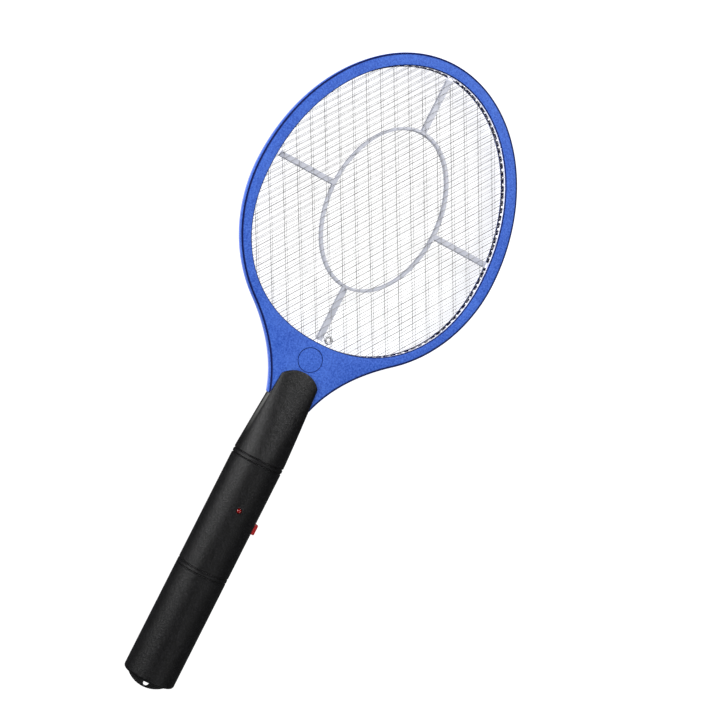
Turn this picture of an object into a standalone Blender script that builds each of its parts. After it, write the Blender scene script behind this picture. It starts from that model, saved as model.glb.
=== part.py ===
# Electric fly swatter: an oval head that holds three wire grids, and a round battery handle.
#
# The object lies face up. +X is its right, +Y runs from the hang tab to the tip of the head, and +Z is
# the front of the grids. Everything hangs on one empty in the mid-plane, where the front and the rear
# half of every moulding meet, so a z value below is a height above that plane. Lengths are in metres.

import math

import bmesh
import bpy
from mathutils import Vector

# ---- overall sizes -------------------------------------------------------------------------------

TOTAL_LENGTH = 0.455
HANDLE_RADIUS = 0.0178
TIP_Y = TOTAL_LENGTH / 2
TAB_END_Y = -TOTAL_LENGTH / 2
FIT_GAP = 0.0003  # between faces that touch in the real object
HALF_GAP = FIT_GAP / 2  # from the mid-plane to either half
PAST = 0.002  # how far a cutter runs past the face that it opens
FAR = 0.04  # beyond any piece across the handle
WALL_BITE = 0.55  # share of a wall that a rib or a boss reaches into

# ---- head ----------------------------------------------------------------------------------------

HEAD_HALF_WIDTH = 0.0897
HEAD_TOP_LENGTH = 0.1161  # widest place to tip
HEAD_LOW_LENGTH = 0.099  # widest place to the bottom of the lower ellipse
HEAD_HALF_DEPTH = 0.0055
RIM_WIDTH = 0.0087  # face beside the opening, at the widest place
RIM_TOP_WIDTH = 0.0085
OPENING_LOW_LENGTH = 0.0879
OPENING_LOW_POWER = 2.2  # a little squarer than an ellipse
FRAME_WALL = 0.0018
FLARE_ANGLE = math.radians(-54.3)  # where the ellipse turns into the throat
FLARE_TOP_PULL = 0.020
FLARE_LOW_PULL = 0.022
FLARE_END_SLOPE = 0.3
WIDEST_Y = TIP_Y - HEAD_TOP_LENGTH
OPENING_HALF_WIDTH = HEAD_HALF_WIDTH - RIM_WIDTH
OPENING_TOP_LENGTH = HEAD_TOP_LENGTH - RIM_TOP_WIDTH
OPENING_BOTTOM_Y = WIDEST_Y - OPENING_LOW_LENGTH
OPENING_CENTRE_Y = WIDEST_Y + (OPENING_TOP_LENGTH - OPENING_LOW_LENGTH) / 2

THROAT_DISC_RADIUS = 0.0085
THROAT_DISC_DEPTH = 0.0004
THROAT_DISC_Y = OPENING_BOTTOM_Y - 0.0125
THROAT_SCREW_X = 0.022
THROAT_SCREW_Y = OPENING_BOTTOM_Y - 0.0155
THROAT_BOSS_RADIUS = 0.0032
THROAT_SCREW_RADIUS = 0.0011
THROAT_HEAD_RADIUS = 0.002
THROAT_HEAD_HEIGHT = 0.0014

# ---- grids and spacers ---------------------------------------------------------------------------

GRID_THICKNESS = 0.0004
GRID_REACH = 0.0032  # how far a grid is clamped under the rim
GRID_BORDER = 0.0026
GRID_BAR = 0.0012
WIRE_A_ANGLE = math.radians(55)
WIRE_A_PITCH = 0.00377
WIRE_A_EVERY = 4  # one bar stands for this many wires
WIRE_B_ANGLE = math.radians(119)
WIRE_B_PITCH = 0.0095
WIRE_B_EVERY = 2
LEAST_HOLE_SIDE = 0.0038  # a smaller hole at the border stays filled
SPACER_REACH = 0.0042
SPACER_WIDTH = 0.0030  # of a spoke
BRACE_WIDTH = 0.0025
BRACE_HALF_WIDTH = 0.038
BRACE_HALF_LENGTH = 0.0567
MIDDLE_GRID_TOP = GRID_THICKNESS / 2
GRID_TOP = HEAD_HALF_DEPTH - FRAME_WALL - FIT_GAP
GRID_LOW = GRID_TOP - GRID_THICKNESS
SPACER_LOW = MIDDLE_GRID_TOP + FIT_GAP
SPACER_TOP = GRID_LOW - FIT_GAP

EYELET_X = 0.0055
EYELET_Y = OPENING_BOTTOM_Y + 0.0045
EYELET_RADIUS = 0.00275
EYELET_BORE = 0.0015
EYELET_HEIGHT = 0.0009

# ---- handle --------------------------------------------------------------------------------------

SHELL_WALL = 0.002
PARTING_FACET = math.radians(2)
TAB_LENGTH = 0.0065
TAB_HALF_CHORD = 0.015
TAB_THICKNESS = 0.0025
TAB_HOLE_RADIUS = 0.002
TAB_HOLE_OUT = 0.0035  # from the butt to the hole's middle
BUTT_Y = TAB_END_Y + TAB_LENGTH
BUTT_CHAMFER = 0.0008
END_WALL = 0.0022
END_RIM_SETBACK = 0.0002  # from the end wall's face to the shells' chamfered rim
SHELL_END_Y = BUTT_Y + END_RIM_SETBACK
GROOVE_SPACING = 0.003
GROOVE_HALF_WIDTH = 0.0006
GROOVE_DEPTH = 0.0006

THROAT_LENGTH = 0.0435  # from the opening to the neck's shoulder
NECK_SHOULDER_Y = OPENING_BOTTOM_Y - THROAT_LENGTH  # where the side walls stop and the head comes out
TONGUE_LENGTH = 0.023  # from the shoulder to the end of the arched tongue
NECK_END_Y = NECK_SHOULDER_Y + TONGUE_LENGTH
NECK_LIP_HALF_WIDTH = 0.0128
NECK_LIP_HALF_DEPTH = 0.0078
NECK_LIP_POWER = 4.0
SHOULDER_SHARE = 0.635  # how much of the neck's taper lies below the shoulder
LIP_SETBACK = 0.001
LIP_TIP_Y = NECK_END_Y - LIP_SETBACK
LIP_RADIUS = 0.0169
LIP_CUT_HALF_WIDTH = 0.0165
SHOULDER_HALF_WIDTH = 0.0154
SHOULDER_DROP = 0.0002  # from the shoulder's edge to the tang
TANG_HALF_WIDTH = 0.011
TANG_LENGTH = 0.025
TANG_END_Y = NECK_SHOULDER_Y - TANG_LENGTH

LATCH_HALF_WIDTH = 0.005
LATCH_THICKNESS = 0.0012
LATCH_LENGTH = 0.0022
LATCH_ROOT = 0.0055
LATCH_STEP = 0.0008  # from the door's end to where the latch drops below its wall
LATCH_CLEARANCE = 0.0018  # between the latch and the bulkhead's flat

SCREW_RADIUS = 0.0012
SCREW_HEAD_RADIUS = 0.0026
SCREW_HEAD_HEIGHT = 0.0018
SCREW_LEDGE = 0.00265  # rear boss left under a screw's head
SCREW_TIP_Z = 0.0055
SCREW_POINT = 0.0015
FRONT_BOSS_RADIUS = 0.0035
REAR_BOSS_RADIUS = 0.0042
TANG_CLEARANCE = 0.00035
BOSS_MEET_Z = -(HEAD_HALF_DEPTH + TANG_CLEARANCE)  # just behind the tang, which hangs on the front boss
SCREW_SEAT_Z = BOSS_MEET_Z - SCREW_LEDGE

# ---- battery compartment -------------------------------------------------------------------------

BULKHEAD_WALL = 0.0016
BULKHEAD_BITE = 0.0008  # how far its edge reaches into the front shell's wall
BULKHEAD_CLEARANCE = 0.0006
CELL_RADIUS = 0.00725  # AA
CELL_LENGTH = 0.0505
CELL_NUB_RADIUS = 0.00275
CELL_NUB_HEIGHT = 0.001
CELL_EDGE = 0.0006
CELL_SPACING = 0.0003
CELL_X = CELL_RADIUS + CELL_SPACING / 2
CONTACT_THICKNESS = 0.0004
CONTACT_HALF_WIDTH = 0.0054
CONTACT_HALF_HEIGHT = 0.0054
SPRING_ROOM = 0.0088  # what is left of the compartment's length beside a cell
SPRING_WIRE_RADIUS = 0.0004
SPRING_WIDE_RADIUS = 0.0046
SPRING_SMALL_RADIUS = 0.0028
SPRING_TURNS = 4
LEAD_RADIUS = 0.0007
LEAD_HOLE_RADIUS = 0.0012
LEAD_HOLE_X = 0.0065
LEAD_HOLE_Z = 0.0095

# ---- circuit, button and lamp --------------------------------------------------------------------

BOARD_TOP = -0.003
BOARD_THICKNESS = 0.0012
BOARD_HALF_WIDTH = 0.012
BOARD_LENGTH = 0.060
BOARD_RIB = 0.0015
BOARD_RIB_INSET = 0.005

BUTTON_LENGTH = 0.0073
BUTTON_HEIGHT = 0.0042
BUTTON_PROUD = 0.0024
BUTTON_TRAVEL = 0.0012
BUTTON_CLEARANCE = 0.0004
BUTTON_FLANGE = 0.0014
BUTTON_FLANGE_MARGIN = 0.0013
PLUNGER_RADIUS = 0.0012
PLUNGER_CLEARANCE = 0.0003
PLUNGER_INSIDE = 0.003
SWITCH_LENGTH = 0.005
SWITCH_SIDE = 0.0054
SWITCH_X = 0.0102  # face that the plunger comes out of

LED_RADIUS = 0.0015
LED_FLANGE_RADIUS = 0.00195
LED_FLANGE_HEIGHT = 0.001
LED_PROUD = 0.0006
LED_CLEARANCE = 0.0003
LED_LEAD_X = 0.00127
LED_LEAD_RADIUS = 0.00025

# ---- places along the handle, each from the one before it ----------------------------------------

CELL_ROOM = CELL_LENGTH + SPRING_ROOM + 2 * (CONTACT_THICKNESS + 2 * FIT_GAP)
BULKHEAD_Y = BUTT_Y + END_WALL + CELL_ROOM  # its face towards the cells
LOWER_GROOVE_Y = BULKHEAD_Y + 0.0145
DOOR_SPLIT_Y = LOWER_GROOVE_Y - GROOVE_SPACING / 2
LOWER_SCREW_Y = LOWER_GROOVE_Y + 0.0055
BOARD_LOW_Y = LOWER_SCREW_Y + 0.0055
BUTTON_Y = BOARD_LOW_Y + 0.027
LED_Y = BUTTON_Y + 0.0085
BOARD_TOP_Y = BOARD_LOW_Y + BOARD_LENGTH
UPPER_SCREW_Y = BOARD_TOP_Y + 0.005
UPPER_GROOVE_Y = UPPER_SCREW_Y + 0.004
NECK_START_Y = UPPER_GROOVE_Y + 0.003  # from here the handle tapers to the tongue
NECK_SCREW_Y = NECK_SHOULDER_Y - 0.013

# ---- finishes: colour, roughness, metallic -------------------------------------------------------

FINISHES = {
    "blue_plastic": ((0.056, 0.136, 0.617), 0.5, 0.0),
    "black_plastic": ((0.012, 0.012, 0.013), 0.42, 0.0),
    "pale_plastic": ((0.66, 0.67, 0.75), 0.45, 0.0),
    "red_plastic": ((0.62, 0.02, 0.02), 0.35, 0.0),
    "red_lens": ((0.7, 0.02, 0.02), 0.12, 0.0),
    "grid_wire": ((0.62, 0.63, 0.65), 0.3, 1.0),
    "steel": ((0.55, 0.55, 0.56), 0.32, 1.0),
    "spring_steel": ((0.6, 0.59, 0.56), 0.28, 1.0),
    "board_green": ((0.05, 0.16, 0.06), 0.5, 0.0),
    "ferrite": ((0.035, 0.035, 0.04), 0.6, 0.0),
    "winding_tape": ((0.75, 0.6, 0.12), 0.4, 0.0),
    "film_red": ((0.4, 0.1, 0.04), 0.35, 0.0),
    "component_black": ((0.02, 0.02, 0.02), 0.4, 0.0),
    "resistor_tan": ((0.5, 0.38, 0.22), 0.5, 0.0),
    "cell_wrap": ((0.03, 0.16, 0.09), 0.35, 0.0),
    "lead_red": ((0.5, 0.02, 0.02), 0.45, 0.0),
    "lead_black": ((0.015, 0.015, 0.015), 0.45, 0.0),
    "lead_white": ((0.7, 0.7, 0.68), 0.45, 0.0),
}


# ---- helpers -------------------------------------------------------------------------------------


def clear_scene():
    for obj in list(bpy.data.objects):
        bpy.data.objects.remove(obj, do_unlink=True)


def make_collection(name):
    collection = bpy.data.collections.new(name)
    bpy.context.scene.collection.children.link(collection)
    return collection


def make_finish(name):
    colour, roughness, metallic = FINISHES[name]
    finish = bpy.data.materials.new(name)
    finish.use_nodes = True
    shader = finish.node_tree.nodes["Principled BSDF"]
    shader.inputs["Base Color"].default_value = (*colour, 1)
    shader.inputs["Roughness"].default_value = roughness
    shader.inputs["Metallic"].default_value = metallic
    return finish


clear_scene()
PARTS = make_collection("electric_fly_swatter")
CUTTERS = make_collection("cutters")
MIDPLANE = bpy.data.objects.new("midplane", None)
MIDPLANE.location.z = HANDLE_RADIUS
PARTS.objects.link(MIDPLANE)
FINISH = {name: make_finish(name) for name in FINISHES}


def add_part(name, data, finish, location=(0, 0, 0), rotation=(0, 0, 0)):
    part = bpy.data.objects.new(name, data)
    part.data.materials.append(FINISH[finish])
    part.parent = MIDPLANE
    part.location = location
    part.rotation_euler = rotation
    PARTS.objects.link(part)
    return part


def add_tool(name, data, location=(0, 0, 0), rotation=(0, 0, 0)):
    # A shape that another piece is cut by or joined with.
    tool = bpy.data.objects.new(name, data)
    tool.parent = MIDPLANE
    tool.location = location
    tool.rotation_euler = rotation
    tool.hide_render = True
    tool.display_type = "WIRE"
    CUTTERS.objects.link(tool)
    return tool


def change(part, tool, operation, solver="EXACT"):
    step = part.modifiers.new(f"{operation.lower()}_{tool.name}", "BOOLEAN")
    step.operation = operation
    step.object = tool
    step.solver = solver


def cut(part, tool):
    change(part, tool, "DIFFERENCE")


def join(part, tool):
    change(part, tool, "UNION")


def round_edges(part, width, segments=2):
    bevel = part.modifiers.new("rounded_edges", "BEVEL")
    bevel.width = width
    bevel.segments = segments
    bevel.limit_method = "ANGLE"
    bevel.angle_limit = math.radians(40)


def smooth(mesh):
    mesh.shade_smooth()
    mesh.set_sharp_from_angle(angle=math.radians(35))


def mesh_from(bm, name):
    mesh = bpy.data.meshes.new(name)
    bm.to_mesh(mesh)
    bm.free()
    smooth(mesh)
    return mesh


def box_mesh(name, low, high):
    bm = bmesh.new()
    bmesh.ops.create_cube(bm, size=1)
    size = Vector(high) - Vector(low)
    bmesh.ops.scale(bm, vec=size, verts=bm.verts)
    bmesh.ops.translate(bm, vec=Vector(low) + size / 2, verts=bm.verts)
    return mesh_from(bm, name)


def cylinders_mesh(name, cylinders, segments=12):
    # Upright cylinders that keep clear of each other: (x, y, radius, low z, high z) each.
    bm = bmesh.new()
    for x, y, radius, low, high in cylinders:
        made = bmesh.ops.create_cone(
            bm, cap_ends=True, segments=segments, radius1=radius, radius2=radius, depth=high - low
        )
        bmesh.ops.translate(bm, vec=(x, y, (low + high) / 2), verts=made["verts"])
    return mesh_from(bm, name)


def turned_part(name, profile, finish, location=(0, 0, 0), rotation=(0, 0, 0), steps=16, ring=False):
    # The profile lists (radius, height) down the outer side, and turns about the local Z axis.
    # A ring's profile closes on itself. Any other starts and ends on the axis.
    bm = bmesh.new()
    verts = [bm.verts.new((radius, 0, height)) for radius, height in profile]
    for upper, lower in zip(verts, verts[1:] + (verts[:1] if ring else [])):
        bm.edges.new((upper, lower))
    part = add_part(name, mesh_from(bm, name), finish, location, rotation)
    screw = part.modifiers.new("turned", "SCREW")
    screw.steps = steps
    screw.render_steps = steps
    screw.use_merge_vertices = True
    screw.merge_threshold = 0.00002
    return part


def plate_curve(name, outlines, low, high):
    # The first outline is the edge and the others are holes. The plate lies between two heights.
    curve = bpy.data.curves.new(name, "CURVE")
    curve.dimensions = "2D"
    curve.fill_mode = "BOTH"
    curve.extrude = (high - low) / 2
    for outline in outlines:
        spline = curve.splines.new("POLY")
        spline.points.add(len(outline) - 1)
        for point, (x, y) in zip(spline.points, outline):
            point.co = (x, y, 0, 1)
        spline.use_cyclic_u = True
    return curve


def plate_mesh(name, outlines, low, high):
    curve = bpy.data.objects.new(name, plate_curve(name, outlines, low, high))
    PARTS.objects.link(curve)
    bpy.context.view_layer.update()
    graph = bpy.context.evaluated_depsgraph_get()
    mesh = bpy.data.meshes.new_from_object(curve.evaluated_get(graph))
    bpy.data.objects.remove(curve)
    bm = bmesh.new()
    bm.from_mesh(mesh)
    bmesh.ops.remove_doubles(bm, verts=bm.verts, dist=0.000001)
    bmesh.ops.translate(bm, vec=(0, 0, (low + high) / 2), verts=bm.verts)
    bmesh.ops.recalc_face_normals(bm, faces=bm.faces)
    bm.to_mesh(mesh)
    bm.free()
    return mesh


def plate_part(name, outlines, low, high, finish):
    return add_part(name, plate_mesh(name, outlines, low, high), finish)


def plate_across(name, outlines, low_y, high_y):
    # A tool whose outlines are (x, z), standing across the handle between two y values.
    mesh = plate_mesh(name, outlines, -high_y, -low_y)
    return add_tool(name, mesh, rotation=(math.pi / 2, 0, 0))


def tube_part(name, points, radius, finish):
    curve = bpy.data.curves.new(name, "CURVE")
    curve.dimensions = "3D"
    curve.bevel_depth = radius
    curve.bevel_resolution = 2
    curve.use_fill_caps = True
    spline = curve.splines.new("POLY")
    spline.points.add(len(points) - 1)
    for point, place in zip(spline.points, points):
        point.co = (*place, 1)
    return add_part(name, curve, finish)


def smooth_route(points, steps=3):
    # Catmull-Rom through the points, ending straight.
    ends = [2 * Vector(points[0]) - Vector(points[1])]
    ends += [Vector(point) for point in points]
    ends += [2 * ends[-1] - ends[-2]]
    route = []
    for before, start, end, after in zip(ends, ends[1:], ends[2:], ends[3:]):
        for step in range(steps):
            t = step / steps
            turn = (2 * before - 5 * start + 4 * end - after) * t * t
            twist = (3 * start - before - 3 * end + after) * t * t * t
            route.append((2 * start + (end - before) * t + turn + twist) / 2)
    route.append(ends[-2])
    return route


def arc(centre, radius, start, end, steps):
    turns = [start + (end - start) * step / steps for step in range(steps + 1)]
    return [(centre[0] + radius * math.cos(a), centre[1] + radius * math.sin(a)) for a in turns]


# ---- outlines of the head ------------------------------------------------------------------------


def bezier(start, start_pull, end_pull, end, steps):
    points = []
    for step in range(1, steps + 1):
        t = step / steps
        u = 1 - t
        points.append(
            start * u**3 + start_pull * 3 * u * u * t + end_pull * 3 * u * t * t + end * t**3
        )
    return points


def right_edge():
    # From the tip, round the right side and down the throat to the neck's shoulder.
    edge = []
    for step in range(15):
        a = math.pi / 2 * (1 - step / 14)
        edge.append(Vector((HEAD_HALF_WIDTH * math.cos(a), WIDEST_Y + HEAD_TOP_LENGTH * math.sin(a))))
    for step in range(1, 10):
        a = FLARE_ANGLE * step / 9
        edge.append(Vector((HEAD_HALF_WIDTH * math.cos(a), WIDEST_Y + HEAD_LOW_LENGTH * math.sin(a))))
    start = edge[-1]
    along = Vector(
        (HEAD_HALF_WIDTH * math.sin(FLARE_ANGLE), -HEAD_LOW_LENGTH * math.cos(FLARE_ANGLE))
    ).normalized()
    end = Vector((SHOULDER_HALF_WIDTH, NECK_SHOULDER_Y + FIT_GAP))
    down = Vector((-FLARE_END_SLOPE, -1)).normalized()
    return edge + bezier(
        start, start + along * FLARE_TOP_PULL, end - down * FLARE_LOW_PULL, end, 7
    )


def head_outline(inset, tang_end):
    # The whole edge, moved inwards by the inset, with the tang that the neck holds.
    edge = right_edge()
    shoulder = NECK_SHOULDER_Y + FIT_GAP + inset
    side = []
    for i, point in enumerate(edge):
        before = edge[i - 1] if i else Vector((-edge[1].x, edge[1].y))
        after = edge[i + 1] if i + 1 < len(edge) else 2 * point - before
        way = (after - before).normalized()
        moved = point + Vector((way.y, -way.x)) * inset
        if moved.y > shoulder + inset / 2:
            side.append((max(moved.x, 0), moved.y))
    side.append((SHOULDER_HALF_WIDTH - inset, shoulder))
    side.append((TANG_HALF_WIDTH - inset, shoulder - SHOULDER_DROP))
    side.append((TANG_HALF_WIDTH - inset, tang_end))
    return side + [(-x, y) for x, y in reversed(side) if x > 0]


def opening_outline(reach, steps=44):
    # The oval opening, or one that lies further out by the reach.
    outline = []
    for step in range(steps):
        a = 2 * math.pi * step / steps
        across, up = math.cos(a), math.sin(a)
        length = OPENING_TOP_LENGTH
        if up < 0:
            across = math.copysign(abs(across) ** (2 / OPENING_LOW_POWER), across)
            up = -(abs(up) ** (2 / OPENING_LOW_POWER))
            length = OPENING_LOW_LENGTH
        outline.append(((OPENING_HALF_WIDTH + reach) * across, WIDEST_Y + (length + reach) * up))
    return outline


# ---- frames --------------------------------------------------------------------------------------


def heights(side, near, far):
    # Two heights from the mid-plane, lowest first, on the front side (1) or the rear side (-1).
    return sorted((near * side, far * side))


def make_frame(name, side):
    low, high = heights(side, HALF_GAP, HEAD_HALF_DEPTH)
    frame = plate_part(
        name, [head_outline(0, TANG_END_Y), opening_outline(0)], low, high, "blue_plastic"
    )
    hollow_low, hollow_high = heights(side, -PAST, HEAD_HALF_DEPTH - FRAME_WALL)
    past_tang = TANG_END_Y - PAST
    hollow = plate_mesh(
        f"{name}_hollow", [head_outline(FRAME_WALL, past_tang)], hollow_low, hollow_high
    )
    cut(frame, add_tool(f"{name}_hollow", hollow))
    boss_low, boss_high = heights(side, FIT_GAP, HEAD_HALF_DEPTH - FRAME_WALL / 2)
    bosses = [
        (x, THROAT_SCREW_Y, THROAT_BOSS_RADIUS, boss_low, boss_high)
        for x in (-THROAT_SCREW_X, THROAT_SCREW_X)
    ]
    join(frame, add_tool(f"{name}_bosses", cylinders_mesh(f"{name}_bosses", bosses)))
    hole = THROAT_SCREW_RADIUS + FIT_GAP
    holes = [(0, NECK_SCREW_Y, FRONT_BOSS_RADIUS + FIT_GAP * 1.5, -FAR, FAR)]
    hole_low, hole_high = (-PAST, throat_screw_top()) if side > 0 else (-FAR, PAST)
    holes += [(x, THROAT_SCREW_Y, hole, hole_low, hole_high) for x in (-THROAT_SCREW_X, THROAT_SCREW_X)]
    cut(frame, add_tool(f"{name}_holes", cylinders_mesh(f"{name}_holes", holes)))
    if side > 0:
        disc = (0, THROAT_DISC_Y, THROAT_DISC_RADIUS, HEAD_HALF_DEPTH - THROAT_DISC_DEPTH, FAR)
        cut(frame, add_tool("throat_disc", cylinders_mesh("throat_disc", [disc], 24)))
    else:
        seats = [
            (x, THROAT_SCREW_Y, THROAT_HEAD_RADIUS + FIT_GAP, -FAR, throat_seat())
            for x in (-THROAT_SCREW_X, THROAT_SCREW_X)
        ]
        cut(frame, add_tool("throat_seats", cylinders_mesh("throat_seats", seats)))
    return frame


def throat_screw_top():
    # The end of the blind hole in the front frame's boss.
    return HEAD_HALF_DEPTH - FRAME_WALL * 0.6


def throat_seat():
    # The rear frame's ledge under a throat screw's head.
    return -HEAD_HALF_DEPTH + THROAT_HEAD_HEIGHT + FIT_GAP * 2


def make_throat_screw(name, x):
    top = throat_screw_top() - FIT_GAP
    seat = throat_seat() - FIT_GAP
    profile = [
        (0, top),
        (THROAT_SCREW_RADIUS, top),
        (THROAT_SCREW_RADIUS, seat),
        (THROAT_HEAD_RADIUS, seat),
        (THROAT_HEAD_RADIUS, seat - THROAT_HEAD_HEIGHT * 0.7),
        (THROAT_HEAD_RADIUS * 0.7, seat - THROAT_HEAD_HEIGHT),
        (0, seat - THROAT_HEAD_HEIGHT),
    ]
    turned_part(name, profile, "steel", (x, THROAT_SCREW_Y, 0), steps=12)


# ---- grids and spacers ---------------------------------------------------------------------------


def clip_to(shape, border):
    # The part of a convex shape inside a convex border, both anticlockwise.
    for (ax, ay), (bx, by) in zip(border, border[1:] + border[:1]):
        kept = []
        for (px, py), (qx, qy) in zip(shape, shape[1:] + shape[:1]):
            p_in = (bx - ax) * (py - ay) - (by - ay) * (px - ax)
            q_in = (bx - ax) * (qy - ay) - (by - ay) * (qx - ax)
            if p_in >= 0:
                kept.append((px, py))
            if p_in * q_in < 0:
                t = p_in / (p_in - q_in)
                kept.append((px + (qx - px) * t, py + (qy - py) * t))
        shape = kept
        if not shape:
            return shape
    return shape


def area_of(shape):
    turns = zip(shape, shape[1:] + shape[:1])
    return sum(ax * by - bx * ay for (ax, ay), (bx, by) in turns) / 2


def grid_holes(shift):
    # The cells between two families of slanting bars, each cell clipped to the border's inner edge.
    border = opening_outline(GRID_REACH - GRID_BORDER, 36)
    a_way = Vector((math.cos(WIRE_A_ANGLE), math.sin(WIRE_A_ANGLE)))
    b_way = Vector((math.cos(WIRE_B_ANGLE), math.sin(WIRE_B_ANGLE)))
    skew = math.sin(WIRE_B_ANGLE - WIRE_A_ANGLE)
    a_step = b_way * (WIRE_A_PITCH * WIRE_A_EVERY / skew)
    b_step = a_way * (WIRE_B_PITCH * WIRE_B_EVERY / skew)
    a_half = a_step / 2 * (1 - GRID_BAR / (WIRE_A_PITCH * WIRE_A_EVERY))
    b_half = b_step / 2 * (1 - GRID_BAR / (WIRE_B_PITCH * WIRE_B_EVERY))
    widest = max(HEAD_TOP_LENGTH, HEAD_HALF_WIDTH)
    reach = math.ceil(widest / min(a_step.length, b_step.length)) + 2
    holes = []
    for i in range(-reach, reach + 1):
        for j in range(-reach, reach + 1):
            centre = Vector((0, OPENING_CENTRE_Y)) + a_step * (i + shift) + b_step * (j + shift)
            corners = [
                centre - a_half - b_half,
                centre - a_half + b_half,
                centre + a_half + b_half,
                centre + a_half - b_half,
            ]
            cell = clip_to([tuple(corner) for corner in corners], border)
            if len(cell) > 2 and area_of(cell) > LEAST_HOLE_SIDE**2:
                holes.append(cell)
    return holes


def make_grid(name, low, high, shift):
    outlines = [opening_outline(GRID_REACH, 36)] + grid_holes(shift)
    plate_part(name, outlines, low, high, "grid_wire")


def oval(half_width, half_length, steps=28):
    points = []
    for step in range(steps):
        a = 2 * math.pi * step / steps
        points.append((half_width * math.cos(a), OPENING_CENTRE_Y + half_length * math.sin(a)))
    return points


def beside_spokes(outline, right, top):
    # The points of one quarter of an outline that keep half a spoke away from both spokes.
    half = SPACER_WIDTH / 2
    kept = []
    for x, y in outline:
        across, up = x * right, (y - OPENING_CENTRE_Y) * top
        if across > half * 1.2 and up > half * 1.2:
            kept.append((across, up))
    kept.sort(key=lambda point: math.atan2(point[1], point[0]))
    first, last = kept[0], kept[-1]
    kept = [(first[0], half)] + kept + [(half, last[1])]
    return [(x * right, OPENING_CENTRE_Y + y * top) for x, y in kept]


def make_spacer(name, side):
    low, high = heights(side, SPACER_LOW, SPACER_TOP)
    edge = opening_outline(SPACER_REACH)
    clear = opening_outline(FIT_GAP)
    brace_out = oval(BRACE_HALF_WIDTH + BRACE_WIDTH / 2, BRACE_HALF_LENGTH + BRACE_WIDTH / 2)
    brace_in = oval(BRACE_HALF_WIDTH - BRACE_WIDTH / 2, BRACE_HALF_LENGTH - BRACE_WIDTH / 2)
    outlines = [edge, brace_in]
    for right, top in ((1, 1), (-1, 1), (-1, -1), (1, -1)):
        outer = beside_spokes(clear, right, top)
        inner = beside_spokes(brace_out, right, top)
        outlines.append(outer + inner[::-1])
    plate_part(name, outlines, low, high, "pale_plastic")


def make_eyelet(name, side):
    base = GRID_TOP + FIT_GAP
    top = base + EYELET_HEIGHT
    mid = (EYELET_RADIUS + EYELET_BORE) / 2
    profile = [
        (mid, top),
        (EYELET_RADIUS, top - EYELET_HEIGHT * 0.4),
        (EYELET_RADIUS, base),
        (EYELET_BORE, base),
        (EYELET_BORE, top - EYELET_HEIGHT * 0.4),
    ]
    turn = (0, 0, 0) if side > 0 else (math.pi, 0, 0)
    turned_part(name, profile, "steel", (EYELET_X, EYELET_Y, 0), turn, ring=True)


# ---- handle shells -------------------------------------------------------------------------------


def section(y):
    # Half-width, half-depth and squareness of the handle at a station.
    if y < NECK_SHOULDER_Y:
        share = SHOULDER_SHARE * max((y - NECK_START_Y) / (NECK_SHOULDER_Y - NECK_START_Y), 0)
    else:
        tongue_share = min((y - NECK_SHOULDER_Y) / TONGUE_LENGTH, 1)
        share = SHOULDER_SHARE + (1 - SHOULDER_SHARE) * tongue_share
    half_width = HANDLE_RADIUS + (NECK_LIP_HALF_WIDTH - HANDLE_RADIUS) * share
    half_depth = HANDLE_RADIUS + (NECK_LIP_HALF_DEPTH - HANDLE_RADIUS) * share
    return half_width, half_depth, 2 + (NECK_LIP_POWER - 2) * share


def groove_lines():
    lines = []
    for y in (LOWER_GROOVE_Y, UPPER_GROOVE_Y):
        lines += [y - GROOVE_SPACING / 2, y + GROOVE_SPACING / 2]
    return lines


def stations(start, end):
    # (y, how deep the surface lies below the plain handle) along a shell, both ends included.
    found = [(start, 0), (end, 0)]
    for line in groove_lines():
        for y, depth in (
            (line - GROOVE_HALF_WIDTH, 0),
            (line, GROOVE_DEPTH),
            (line + GROOVE_HALF_WIDTH, 0),
        ):
            if start < y < end:
                found.append((y, depth))
    neck_steps = 5
    for step in range(neck_steps):
        y = NECK_START_Y + (NECK_END_Y - NECK_START_Y) * step / neck_steps
        if start < y < end:
            found.append((y, 0))
    if start == SHELL_END_Y:
        found[0] = (start, BUTT_CHAMFER)
        found.append((start + BUTT_CHAMFER, 0))
    return sorted(found)


def section_turns(first, segments):
    # The angles of a half section. The end facets are narrow, so that the wall's rim stays level.
    last = math.pi - first
    inner = [math.pi * step / segments for step in range(1, segments)]
    return [first, first + PARTING_FACET] + inner + [last - PARTING_FACET, last]


def make_shell(name, side, rings, segments=12):
    bm = bmesh.new()
    rows = []
    for y, depth in rings:
        half_width, half_depth, power = section(y)
        first = math.asin((HALF_GAP / (half_depth - depth)) ** (power / 2))
        row = []
        for a in section_turns(first, segments):
            across = math.copysign(abs(math.cos(a)) ** (2 / power), math.cos(a))
            up = math.sin(a) ** (2 / power)
            row.append(
                bm.verts.new(((half_width - depth) * across, y, (half_depth - depth) * up * side))
            )
        rows.append(row)
    for lower, upper in zip(rows, rows[1:]):
        for i in range(len(lower) - 1):
            corners = (lower[i], upper[i], upper[i + 1], lower[i + 1])
            bm.faces.new(corners if side > 0 else corners[::-1])
    shell = add_part(name, mesh_from(bm, name), "black_plastic")
    wall = shell.modifiers.new("wall", "SOLIDIFY")
    wall.thickness = SHELL_WALL
    wall.offset = -1
    return shell


def end_wall(name, side):
    radius = HANDLE_RADIUS - SHELL_WALL / 2
    first = math.asin(FIT_GAP / radius)
    outline = arc((0, 0), radius, first, math.pi - first, 14)
    outline = [(x, z * side) for x, z in outline]
    return plate_across(name, [outline], BUTT_Y, BUTT_Y + END_WALL)


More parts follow.
